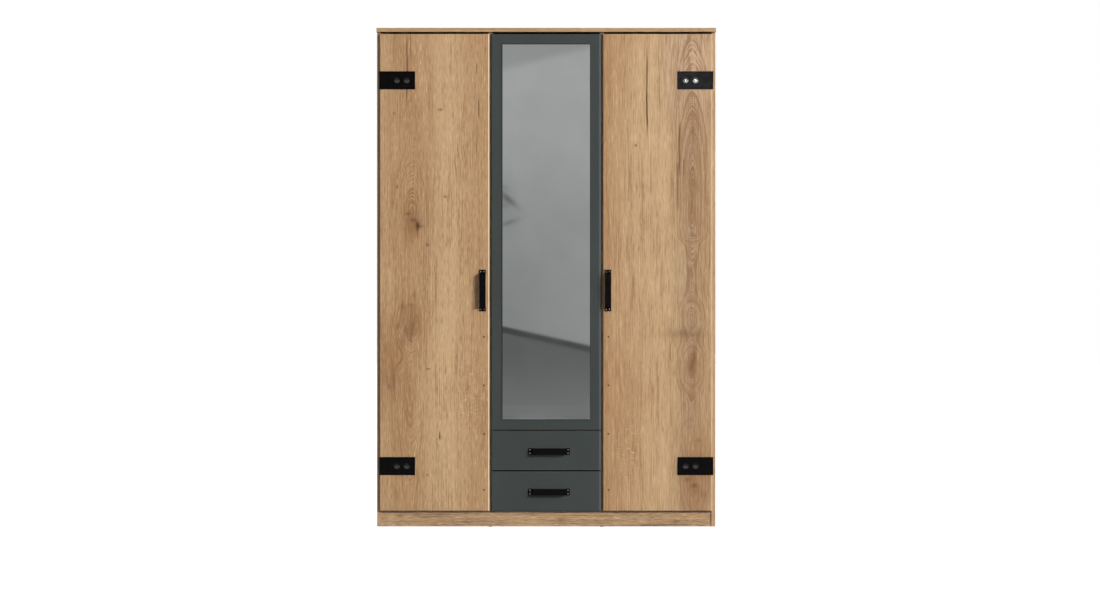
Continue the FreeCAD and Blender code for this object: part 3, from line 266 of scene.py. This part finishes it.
RIGHT_TINTS = [
    ((0.32, 0.48), (0.09, 0.45), 0.8, RUSSET), ((0.26, 1.86), (0.06, 0.14), 0.6, RUSSET),
    ((0.57, 1.82), (0.10, 0.20), 0.9, ROSY), ((0.58, 1.35), (0.04, 0.15), 0.4, BROWN),
    ((0.60, 0.22), (0.07, 0.20), 0.8, BROWN), ((0.58, 0.64), (0.04, 0.10), 0.6, BROWN),
    ((0.48, 0.60), (0.05, 0.22), 0.6, STRAW),
]
RIGHT_FLECKS = ((0.330, 0.300), (0.040, 0.120))
RIGHT_RINGS = [
    ((0.585, 1.640), (0.060, 0.330), 0.75), ((0.585, 1.180), (0.055, 0.150), 0.60),
    ((0.585, 0.730), (0.060, 0.240), 0.60), ((0.580, 0.200), (0.060, 0.110), 0.65),
]
PLINTH_KNOTS = [((0.060, 0.030), (0.020, 0.012), 0.40), ((-0.430, 0.045), (0.030, 0.008), 0.30)]
# Small round plugs near the inner edge of each outer door.
PLUG_LEVELS = (0.758, 0.565, 0.371, 0.148)
PLUG_PLACE = 0.248
PLUG_SIZE = (0.0032, 0.0032)
PLUG_DARKNESS = 1.6
KNOT_BROWN = (84, 54, 32)
# The curve of the log's depth is drawn in a unit square: this height and this depth fill it.
TALLEST = 2.0
DEEPEST = 0.1


def tone_across(shader, across, stops):
    """A colour that changes across the board; each stop is a place and the tone there."""
    low = stops[0][0]
    width = stops[-1][0] - low
    share = shader.math("MULTIPLY_ADD", across, 1 / width, -low / width)
    ramp = shader.add("ShaderNodeValToRGB", {0: share}, output=None)
    elements = ramp.color_ramp.elements
    for place, _ in stops[1:-1]:
        elements.new((place - low) / width)
    for element, (_, tone) in zip(elements, stops):
        element.color = srgb(*tone)
    return ramp.outputs[0]


def crack(shader, along, across, place, low, high, width, depth):
    """A dark line along the grain that wanders a little and fades out at both ends."""
    drift = shader.noise_along(along, 9.0, 3.0)
    offset = shader.math("MULTIPLY_ADD", drift, 0.004, shader.math("SUBTRACT", across, place))
    line = shader.ramp(shader.math("ABSOLUTE", offset), 0.0, width * 2.2, 1.0, 0.0)
    fade = (high - low) * 0.25
    rise = shader.ramp(along, low, low + fade)
    ends = shader.times(rise, shader.ramp(along, high - fade, high, 1.0, 0.0))
    return shader.times(line, ends, depth)


def painted_edge_light(shader, across, colour, place, width, share, tone):
    """Painted light on the rounded edge of a front: a lighter strip is a painted highlight, a darker one
    painted shade.
    """
    distance = shader.math("ABSOLUTE", shader.math("SUBTRACT", across, place))
    return shader.mix(shader.ramp(distance, width * 0.5, width, share, 0.0), colour, srgb(*tone))


def log_distance(shader, across, along, heart, depths, unevenness):
    """Distance from the middle of the log, which lies behind the board at the given depths."""
    height = shader.math("DIVIDE", along, TALLEST)
    curve = shader.add("ShaderNodeFloatCurve", {"Value": height}, output=None)
    points = curve.mapping.curves[0].points
    while len(points) < len(depths):
        points.new(0.5, 0.5)
    for point, (level, depth) in zip(points, depths):
        point.location = (level / TALLEST, depth / DEEPEST)
    curve.mapping.update()
    depth = shader.math("MULTIPLY_ADD", curve.outputs[0], DEEPEST, unevenness)
    offset = shader.math("SUBTRACT", across, heart)
    return shader.math("SQRT", shader.total(shader.times(offset, offset), shader.times(depth, depth)))


def oak(name, grain, tones, seed, heart=None, depths=(), swirls=(), knots=(), cracks=(), plugs=(),
        tints=(), flecks=None, ringed=(), stops=None, dash_scale=30.0, edges=()):
    """Oak decor. grain is the axis the fibres run along; tones are its dark, middle and light colours.

    stops take the place of the middle colour; a larger dash_scale makes the dark dashes shorter.
    """
    shader = Shader(name)
    axes = {"x": shader.x, "y": shader.y, "z": shader.z}
    along = axes.pop(grain)
    across = shader.math("SUBTRACT", shader.math("ADD", *axes.values()), FRONT_FACE)

    def stretched(wide, long, shift, detail=2.0, roughness=0.5):
        place = shader.vector(shader.times(across, wide), seed + shift, shader.times(along, long))
        return shader.noise(place, 1.0, detail, roughness)

    wander = shader.times(stretched(2.2, 0.9, 0.0), 0.04)
    ripple = shader.times(stretched(12.0, 4.0, 4.0), 0.008)
    bent = shader.math("ADD", across, shader.total(wander, ripple))
    for centre, size, height in swirls:
        bent = shader.math("ADD", bent, shader.spot(centre, size, height))
    lines = bent
    if heart is not None:
        unevenness = shader.times(stretched(11.0, 7.0, 21.0), 0.010)
        lines = log_distance(shader, bent, along, heart, depths, unevenness)
    ring_share = shader.total(0.06, *(shader.spot(*patch) for patch in ringed))

    bands = shader.noise_along(shader.total(lines, seed * 0.37), 30.0, 2.0)
    rings = shader.noise_along(shader.total(lines, seed * 0.53), 290.0, 1.0)
    ring_lines = shader.times(shader.ramp(shader.math("ABSOLUTE", rings), 0.0, 0.10, 1.0, 0.0),
                              shader.ramp(stretched(45.0, 14.0, 7.0), -0.20, 0.20, 0.15, 1.75), ring_share)
    fibres = stretched(520.0, 30.0, 1.0, 3.0, 0.65)
    dashes = stretched(230.0, dash_scale, 2.0, 2.0, 0.6)
    streaks = stretched(110.0, 1.6, 9.0, 3.0, 0.6)
    clouds = stretched(9.0, 2.2, 12.0, 3.0)
    thin = shader.math("ABSOLUTE", stretched(115.0, 1.8, 15.0, 1.0))
    thin_lines = shader.times(shader.ramp(thin, 0.0, 0.085, 1.0, 0.0),
                              shader.ramp(stretched(20.0, 3.5, 18.0), -0.25, 0.25))
    shade = shader.total(
        0.5,
        shader.times(bands, 0.32),
        shader.times(rings, ring_share, 0.28),
        shader.times(ring_lines, -1.50),
        shader.times(streaks, 0.30),
        shader.times(dashes, 1.25),
        shader.times(fibres, 1.50),
        shader.times(clouds, 0.40),
        shader.times(thin_lines, -0.45),
    )
    dark, middle, light = (srgb(*tone) for tone in tones)
    tinted = middle if stops is None else tone_across(shader, bent, stops)
    for centre, size, share, tone in tints:
        tinted = shader.mix(shader.spot(centre, size, share), tinted, srgb(*tone))
    colour = shader.mix(shader.ramp(shade, -0.15, 0.55, 0.75, 0.0), tinted, dark)
    colour = shader.mix(shader.ramp(shade, 0.45, 1.10, 0.0, 0.80), colour, light)

    pores = shader.ramp(stretched(700.0, 45.0, 3.0, 1.0), 0.12, 0.26)
    darkness = shader.times(pores, 0.20)
    if flecks is not None:
        centre, size = flecks
        across_grain = shader.vector(shader.times(across, 45.0), seed, shader.times(along, 120.0))
        fleck = shader.ramp(shader.noise(across_grain, 1.0, 2.0), 0.02, 0.22)
        colour = shader.mix(shader.times(fleck, shader.spot(centre, size, 0.55)), colour, light)
    for centre, size, depth in knots:
        darkness = shader.math("ADD", darkness, shader.spot(centre, size, depth))
    for shape in cracks:
        darkness = shader.math("ADD", darkness, crack(shader, along, across, *shape))
    for centre in plugs:
        darkness = shader.math("ADD", darkness, shader.spot(centre, PLUG_SIZE, PLUG_DARKNESS))
    ragged = shader.math("MULTIPLY_ADD", dashes, 1.8, 1.0)
    darkness = shader.math("MULTIPLY", darkness, ragged, clamp=True)
    colour = shader.mix(darkness, colour, srgb(*KNOT_BROWN))
    # Painted highlights and painted shade along the rounded edges of the front.
    for edge in edges:
        colour = painted_edge_light(shader, across, colour, *edge)
    roughness = shader.math("MULTIPLY_ADD", streaks, 0.22, 0.55)
    relief = shader.math("SUBTRACT", shader.total(fibres, dashes), shader.times(darkness, 1.5))
    return shader.finish(colour, roughness, relief, 0.12, 0.0004, Specular_IOR_Level=0.3)


def graphite():
    """Graphite melamine: a very fine leathery pebble and faint cloudiness, with a painted highlight on the
    right edge.
    """
    shader = Shader("graphite_melamine")
    clouds = shader.noise(shader.place, 3.0, 3.0)
    speckle = shader.noise(shader.place, 900.0, 2.0)
    shade = shader.total(0.5, shader.times(clouds, 0.9), shader.times(speckle, 0.8))
    colour = shader.mix(shader.ramp(shade, 0.0, 1.0), srgb(48, 53, 52), srgb(60, 65, 64))
    # Painted highlight along the mirror door's right edge.
    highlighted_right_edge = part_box("mirror_door_panel")[1].x
    colour = painted_edge_light(shader, shader.x, colour, highlighted_right_edge - 0.0045, 0.0050, 0.6, (88, 93, 92))
    roughness = shader.math("MULTIPLY_ADD", clouds, 0.15, 0.46)
    return shader.finish(colour, roughness, speckle, 0.12, 0.0003, Specular_IOR_Level=0.2)


def black_coat():
    """Satin black powder coat with a fine orange-peel texture."""
    shader = Shader("black_powder_coat")
    peel = shader.noise(shader.place, 1400.0, 2.0)
    clouds = shader.noise(shader.place, 40.0, 3.0)
    colour = shader.mix(shader.ramp(clouds, -0.3, 0.3), srgb(5, 5, 5), srgb(10, 9, 9))
    roughness = shader.math("MULTIPLY_ADD", clouds, 0.10, 0.19)
    return shader.finish(colour, roughness, peel, 0.05, 0.0001, Specular_IOR_Level=0.04)


def fastener_finish():
    """Blackened bolts (a painted highlight on the upper right ones), worn handle screws, and zinc behind
    the doors.
    """
    shader = Shader("screw_finish")
    clouds = shader.noise(shader.place, 160.0, 3.0)
    plated = shader.ramp(shader.y, BACK_FACE - 0.001, BACK_FACE)
    dark = shader.mix(shader.ramp(clouds, -0.3, 0.3), srgb(50, 48, 47), srgb(70, 68, 66))
    # Painted highlight: the bolts of the upper right strap are made much lighter.
    upper_right_bolt_highlight = shader.spot((0.600, 1.780), (0.06, 0.06), 0.8)
    dark = shader.mix(upper_right_bolt_highlight, dark, srgb(176, 176, 174))
    on_handle = shader.ramp(shader.math("ABSOLUTE", shader.x), 0.50, 0.40)
    dark = shader.mix(on_handle, dark, srgb(112, 98, 78))
    colour = shader.mix(plated, dark, srgb(196, 190, 172))
    roughness = shader.math("MULTIPLY_ADD", clouds, 0.10, 0.20)
    return shader.finish(colour, roughness, clouds, 0.04, 0.0002, Metallic=1.0)


def plated_steel():
    """Zinc or nickel plate: faint brushing and spots of duller plating."""
    shader = Shader("plated_steel")
    brush_scales = ((shader.x, 60.0), (shader.y, 60.0), (shader.z, 900.0))
    brush_place = shader.vector(*(shader.times(axis, scale) for axis, scale in brush_scales))
    brush = shader.noise(brush_place, 1.0, 2.0)
    clouds = shader.noise(shader.place, 45.0, 3.0)
    colour = shader.mix(shader.ramp(clouds, -0.3, 0.3), srgb(150, 150, 146), srgb(196, 196, 192))
    roughness = shader.total(0.32, shader.times(brush, 0.25), shader.times(clouds, 0.2))
    return shader.finish(colour, roughness, brush, 0.1, 0.0001, Metallic=1.0)


def hardboard():
    """Lacquered hardboard: pale, with short fibres in all directions."""
    shader = Shader("lacquered_hardboard")
    fibres = shader.noise(shader.place, 380.0, 4.0, 0.7, 1.5)
    clouds = shader.noise(shader.place, 6.0, 3.0)
    shade = shader.total(0.5, shader.times(fibres, 0.9), shader.times(clouds, 0.5))
    colour = shader.mix(shader.ramp(shade, 0.0, 1.0), srgb(196, 188, 174), srgb(224, 218, 208))
    roughness = shader.math("MULTIPLY_ADD", fibres, 0.2, 0.55)
    return shader.finish(colour, roughness, fibres, 0.2, 0.0002)


def moulded_plastic():
    """Dark plastic with a fine grain."""
    shader = Shader("moulded_plastic")
    grain = shader.noise(shader.place, 700.0, 2.0)
    colour = shader.mix(shader.ramp(grain, -0.3, 0.3), srgb(52, 50, 47), srgb(72, 70, 66))
    return shader.finish(colour, shader.math("MULTIPLY_ADD", grain, 0.2, 0.5), grain, 0.2, 0.0002)


def felt():
    """Pressed brown felt."""
    shader = Shader("pressed_felt")
    fuzz = shader.noise(shader.place, 1600.0, 4.0, 0.7)
    colour = shader.mix(shader.ramp(fuzz, -0.3, 0.3), srgb(118, 108, 94), srgb(168, 158, 142))
    return shader.finish(colour, 0.95, fuzz, 0.6, 0.0006)


def mirror():
    """Silvered glass: grey-tinted, all but flawless, with duller ground edges."""
    shader = Shader("silvered_glass")
    haze = shader.noise(shader.place, 5.0, 3.0)
    colour = shader.mix(shader.ramp(haze, -0.3, 0.3), srgb(222, 225, 225), srgb(232, 234, 234))
    low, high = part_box("mirror_glass")
    for place, start, end in ((shader.x, low.x, high.x), (shader.z, low.z, high.z)):
        from_middle = shader.math("ABSOLUTE", shader.math("SUBTRACT", place, (start + end) / 2))
        reach = (end - start) / 2
        ground_edge = shader.ramp(from_middle, reach - 0.0022, reach - 0.0012)
        colour = shader.mix(ground_edge, colour, srgb(74, 78, 78))
    roughness = shader.ramp(haze, -0.3, 0.3, 0.004, 0.02)
    return shader.finish(colour, roughness, Metallic=1.0)


def seal_paint():
    """The dark rubbery look of the mirror's bead."""
    shader = Shader("mirror_seal_black")
    grain = shader.noise(shader.place, 500.0, 3.0)
    colour = shader.mix(shader.ramp(grain, -0.3, 0.3), srgb(26, 28, 28), srgb(44, 47, 47))
    return shader.finish(colour, 0.6, grain, 0.3, 0.0002)


def mirror_seal():
    """The thin dark bead that beds the mirror pane on its door."""
    low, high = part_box("mirror_glass")
    width = 0.0012
    clearance = 0.0001
    profile = ((0.0, 0.0), (0.0, 0.0012), (width, 0.0004), (width, 0.0))
    mesh = bmesh.new()
    rings = []
    for grow, height in profile:
        gap = grow + clearance
        y = FRONT_FACE - height
        corners = [(low.x - gap, low.z - gap), (high.x + gap, low.z - gap),
                   (high.x + gap, high.z + gap), (low.x - gap, high.z + gap)]
        rings.append([mesh.verts.new((x, y, z)) for x, z in corners])
    for index, ring in enumerate(rings):
        after = rings[(index + 1) % len(rings)]
        for corner in range(4):
            beside = (corner + 1) % 4
            mesh.faces.new((ring[corner], ring[beside], after[beside], after[corner]))
    bmesh.ops.recalc_face_normals(mesh, faces=mesh.faces)
    data = bpy.data.meshes.new("mirror_seal")
    mesh.to_mesh(data)
    mesh.free()
    seal = bpy.data.objects.new("mirror_seal", data)
    bpy.context.scene.collection.objects.link(seal)
    data.materials.append(seal_paint())
    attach(seal, "mirror_door")


def dress(material, *names):
    """Gives the nodes that one material."""
    for name in names:
        slots = nodes[name].data.materials
        if slots:
            slots[0] = material
        else:
            slots.append(material)


def dress_wardrobe():
    """Gives every node its material."""
    door_tones = ((134, 95, 60), (182, 147, 109), (214, 181, 134))
    carcass_tones = ((134, 102, 74), (174, 142, 108), (200, 170, 134))
    left_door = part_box("left_door_panel")
    right_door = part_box("right_door_panel")
    # Painted highlights and painted shade on door edges, as (x, width, share, colour).
    left_edge_highlights = [(left_door[1].x - 0.0040, 0.0028, 0.62, (246, 226, 198))]
    right_edge_highlight_and_shade = [(right_door[1].x - 0.0036, 0.0044, 0.32, (230, 206, 178)),
                   (right_door[0].x + 0.0015, 0.0040, 0.45, (90, 66, 46))]
    left_plugs = [(-PLUG_PLACE, z) for z in PLUG_LEVELS]
    right_plugs = [(PLUG_PLACE, z) for z in PLUG_LEVELS]
    left_oak = oak("oak_left_door", "z", door_tones, 3.0, LEFT_HEART, LEFT_DEPTH, LEFT_SWIRLS,
                   LEFT_KNOTS, LEFT_CRACKS, left_plugs, LEFT_TINTS, LEFT_FLECKS, LEFT_RINGS,
                   stops=LEFT_TONES, dash_scale=26.0, edges=left_edge_highlights)
    dress(left_oak, "left_door_panel")
    right_oak = oak("oak_right_door", "z", door_tones, 11.0, RIGHT_HEART, RIGHT_DEPTH, RIGHT_SWIRLS,
                    RIGHT_KNOTS, RIGHT_CRACKS, right_plugs, RIGHT_TINTS, RIGHT_FLECKS, RIGHT_RINGS,
                    stops=RIGHT_TONES, dash_scale=12.0, edges=right_edge_highlight_and_shade)
    dress(right_oak, "right_door_panel")
    dress(oak("oak_upright", "z", carcass_tones, 17.0),
          "left_side_panel", "right_side_panel", "left_partition", "right_partition")
    plinth_tones = ((74, 50, 30), (170, 138, 103), (222, 194, 158))
    dress(oak("oak_plinth", "x", plinth_tones, 41.0, knots=PLINTH_KNOTS), "plinth_front")
    dress(oak("oak_level", "x", carcass_tones, 23.0), "top_board", "bottom_board", "plinth_rear",
          "left_hat_shelf", "right_hat_shelf", "drawer_cover_shelf", "middle_shelves")
    box_tones = ((160, 130, 98), (190, 164, 130), (208, 186, 154))
    dress(oak("drawer_box_side", "y", box_tones, 29.0), "lower_drawer_left_side", "lower_drawer_right_side",
          "upper_drawer_left_side", "upper_drawer_right_side")
    dress(oak("drawer_box_back", "x", box_tones, 31.0), "lower_drawer_back", "upper_drawer_back")
    beech_tones = ((178, 136, 96), (204, 166, 122), (218, 186, 146))
    dress(oak("planed_beech", "y", beech_tones, 37.0), "cabinet_runners", "dowels")
    dress(graphite(), "mirror_door_panel", "lower_drawer_front", "upper_drawer_front")
    dress(black_coat(), "left_door_handle", "right_door_handle", "left_door_straps", "right_door_straps",
          "lower_drawer_handle", "upper_drawer_handle")
    dress(fastener_finish(), "left_door_fasteners", "right_door_fasteners", "lower_drawer_fasteners",
          "upper_drawer_fasteners")
    dress(plated_steel(), "left_clothes_rail", "right_clothes_rail", "hinge_arms", "hinge_plates",
          "left_hinge_links", "mirror_hinge_links", "right_hinge_links", "left_hinge_cups",
          "mirror_hinge_cups", "right_hinge_cups", "shelf_pins", "carcass_screws", "back_panel_nails",
          "wall_brackets", "cam_locks", "rail_sockets", "mirror_door_fasteners")
    dress(hardboard(), "back_panel_left", "back_panel_middle", "back_panel_right", "lower_drawer_bottom",
          "upper_drawer_bottom")
    dress(moulded_plastic(), "floor_glides")
    dress(felt(), "door_bumpers")
    dress(mirror(), "mirror_glass")
    mirror_seal()


def plane(name, corners, material):
    """A flat stage piece."""
    data = bpy.data.meshes.new(name)
    data.from_pydata(corners, [], [tuple(range(len(corners)))])
    data.materials.append(material)
    obj = bpy.data.objects.new(name, data)
    bpy.context.scene.collection.objects.link(obj)
    return obj


def floor():
    """A plain pale studio floor."""
    shader = Shader("studio_floor")
    clouds = shader.noise(shader.place, 1.5, 3.0)
    colour = shader.mix(shader.ramp(clouds, -0.3, 0.3), srgb(150, 150, 149), srgb(160, 160, 159))
    material = shader.finish(colour, 0.8, Emission_Color=(1.0, 1.0, 1.0, 1.0), Emission_Strength=0.85)
    corners = [(-FLOOR_REACH, -FLOOR_REACH, 0), (FLOOR_REACH, -FLOOR_REACH, 0),
               (FLOOR_REACH, FLOOR_REACH, 0), (-FLOOR_REACH, FLOOR_REACH, 0)]
    ground = plane("studio_floor", corners, material)
    ground.visible_diffuse = False


def painted_leaf_shadow(shader, x, z, start, end, width, share):
    """A painted leaf shadow: a soft dark stroke between two points of the mirror."""
    length = math.dist(start, end)
    along = ((end[0] - start[0]) / length, (end[1] - start[1]) / length)
    middle = ((start[0] + end[0]) / 2, (start[1] + end[1]) / 2)
    squares = []
    for direction, reach in ((along, length / 2), ((-along[1], along[0]), width)):
        shift = -(middle[0] * direction[0] + middle[1] * direction[1]) / reach
        part = shader.math("MULTIPLY_ADD", x, direction[0] / reach, shift)
        part = shader.math("MULTIPLY_ADD", z, direction[1] / reach, part)
        squares.append(shader.times(part, part))
    fall = shader.math("EXPONENT", shader.times(shader.total(*squares), -1.0))
    return shader.times(fall, share)


def glowing_room_picture():
    """A glowing grey card far in front for the mirror to show: a plain room painted with its light and
    shade.
    """
    shader = Shader("glowing_room_picture")
    # The card seen in the mirror is this much bigger than its image there, so x and z below are
    # places on the mirror.
    reach = (CARD_DISTANCE + CAMERA_DISTANCE) / CAMERA_DISTANCE
    x = shader.math("MULTIPLY_ADD", shader.x, 1 / reach, CAMERA.x - CAMERA.x / reach)
    z = shader.math("MULTIPLY_ADD", shader.z, 1 / reach, CAMERA.z - CAMERA.z / reach)
    clouds = shader.noise(shader.place, 0.9, 2.0)
    # Painted light and shade: the wall lighter towards the top and, low down, towards the right, a darker
    # band above the ceiling line, painted leaf shadows, and a darker floor with painted shadow patches.
    wall = shader.mix(shader.ramp(z, 0.80, 1.80), srgb(147, 147, 147), srgb(177, 177, 177))
    side = shader.ramp(x, -0.17, 0.17, 0.0, 0.5)
    wall = shader.mix(shader.times(side, shader.ramp(z, 1.5, 0.9)), wall, srgb(166, 164, 165))
    ceiling_edge = shader.math("SUBTRACT", z, shader.math("MULTIPLY_ADD", x, 0.25, 1.868))
    colour = shader.mix(shader.ramp(ceiling_edge, -0.022, 0.022), wall, srgb(157, 157, 157))
    for start, end, width, share in PAINTED_LEAF_SHADOWS:
        colour = shader.mix(painted_leaf_shadow(shader, x, z, start, end, width, share), colour, srgb(66, 66, 66))
    skirting_edge = shader.math("SUBTRACT", z, shader.math("MULTIPLY_ADD", x, -0.222, 0.734))
    ground = shader.mix(shader.ramp(z, 0.45, 0.72), srgb(122, 122, 122), srgb(104, 104, 104))
    ground = shader.mix(shader.ramp(clouds, 0.0, 0.35, 0.0, 0.6), ground, srgb(92, 92, 92))
    colour = shader.mix(shader.ramp(skirting_edge, 0.022, 0.034, 1.0, 0.0), colour, srgb(76, 77, 77))
    colour = shader.mix(shader.ramp(skirting_edge, -0.004, 0.008, 1.0, 0.0), colour, ground)
    y = FRONT_FACE - CARD_DISTANCE
    corners = [(CARD_HALF_WIDTH, y, 0.0), (-CARD_HALF_WIDTH, y, 0.0),
               (-CARD_HALF_WIDTH, y, CARD_HEIGHT), (CARD_HALF_WIDTH, y, CARD_HEIGHT)]
    card = plane("glowing_room_picture", corners, shader.glow(colour))
    card.visible_camera = False


def rug_card():
    """A grey strip on the floor far in front, for the lowest part of the mirror to show."""
    shader = Shader("rug_card")
    clouds = shader.noise(shader.place, 0.9, 2.0)
    colour = shader.mix(shader.ramp(clouds, -0.3, 0.3), srgb(122, 122, 122), srgb(128, 128, 128))
    far = FRONT_FACE - CARD_DISTANCE
    near = FRONT_FACE - RUG_START
    corners = [(-CARD_HALF_WIDTH, far, RUG_LEVEL), (CARD_HALF_WIDTH, far, RUG_LEVEL),
               (CARD_HALF_WIDTH, near, RUG_LEVEL), (-CARD_HALF_WIDTH, near, RUG_LEVEL)]
    card = plane("rug_card", corners, shader.glow(colour))
    card.visible_camera = False


def lamp(name, place, aim, width, height, power, reflects=True):
    """A soft rectangular lamp; surfaces show its reflection only if it reflects."""
    light = bpy.data.lights.new(name, "AREA")
    light.shape = "RECTANGLE"
    light.size = width
    light.size_y = height
    light.energy = power
    obj = bpy.data.objects.new(name, light)
    obj.location = place
    obj.rotation_euler = (Vector(aim) - Vector(place)).to_track_quat("-Z", "Y").to_euler()
    obj.visible_camera = False
    obj.visible_glossy = reflects
    bpy.context.scene.collection.objects.link(obj)


def world():
    """White surroundings behind and above, darker ones in front and below."""
    surroundings = bpy.data.worlds.new("studio")
    surroundings.use_nodes = True
    tree = surroundings.node_tree
    background = tree.nodes["Background"]
    direction = tree.nodes.new("ShaderNodeTexCoord")
    split = tree.nodes.new("ShaderNodeSeparateXYZ")
    tree.links.new(direction.outputs["Generated"], split.inputs[0])
    both = tree.nodes.new("ShaderNodeMath")
    both.operation = "MULTIPLY"
    # For each axis of the direction: where the darker side ends, where the white one starts, and the
    # brightness of each.
    eases = (("Y", (-0.25, 0.05, 0.33, 1.0)), ("Z", (-0.45, -0.03, 0.10, 1.0)))
    for slot, (axis, settings) in enumerate(eases):
        ease = tree.nodes.new("ShaderNodeMapRange")
        ease.interpolation_type = "SMOOTHSTEP"
        for index, value in enumerate(settings, 1):
            ease.inputs[index].default_value = value
        tree.links.new(split.outputs[axis], ease.inputs[0])
        tree.links.new(ease.outputs[0], both.inputs[slot])
    tree.links.new(both.outputs[0], background.inputs["Color"])
    background.inputs["Strength"].default_value = 1.0
    bpy.context.scene.world = surroundings


def camera():
    """A level camera far in front, so that the view is all but free of perspective."""
    lens = bpy.data.cameras.new("camera")
    lens.sensor_width = 36.0
    lens.lens = lens.sensor_width * CAMERA_DISTANCE / VIEW_WIDTH
    obj = bpy.data.objects.new("camera", lens)
    obj.location = CAMERA
    obj.rotation_euler = (math.radians(90), 0, 0)
    bpy.context.scene.collection.objects.link(obj)
    bpy.context.scene.camera = obj


dress_wardrobe()
floor()
glowing_room_picture()
rug_card()
lamp("key_lamp", KEY_PLACE, WARDROBE_MIDDLE, width=7.0, height=4.0, power=4230.0, reflects=False)
lamp("glint_lamp", KEY_PLACE, WARDROBE_MIDDLE, width=1.6, height=1.6, power=300.0)
lamp("sheen_lamp", (0.88, -12.3, 2.22), (0.594, -0.3, 1.78), width=0.5, height=0.5, power=45.0)
world()
camera()
bpy.context.scene.view_settings.view_transform = "Standard"
bpy.context.view_layer.update()
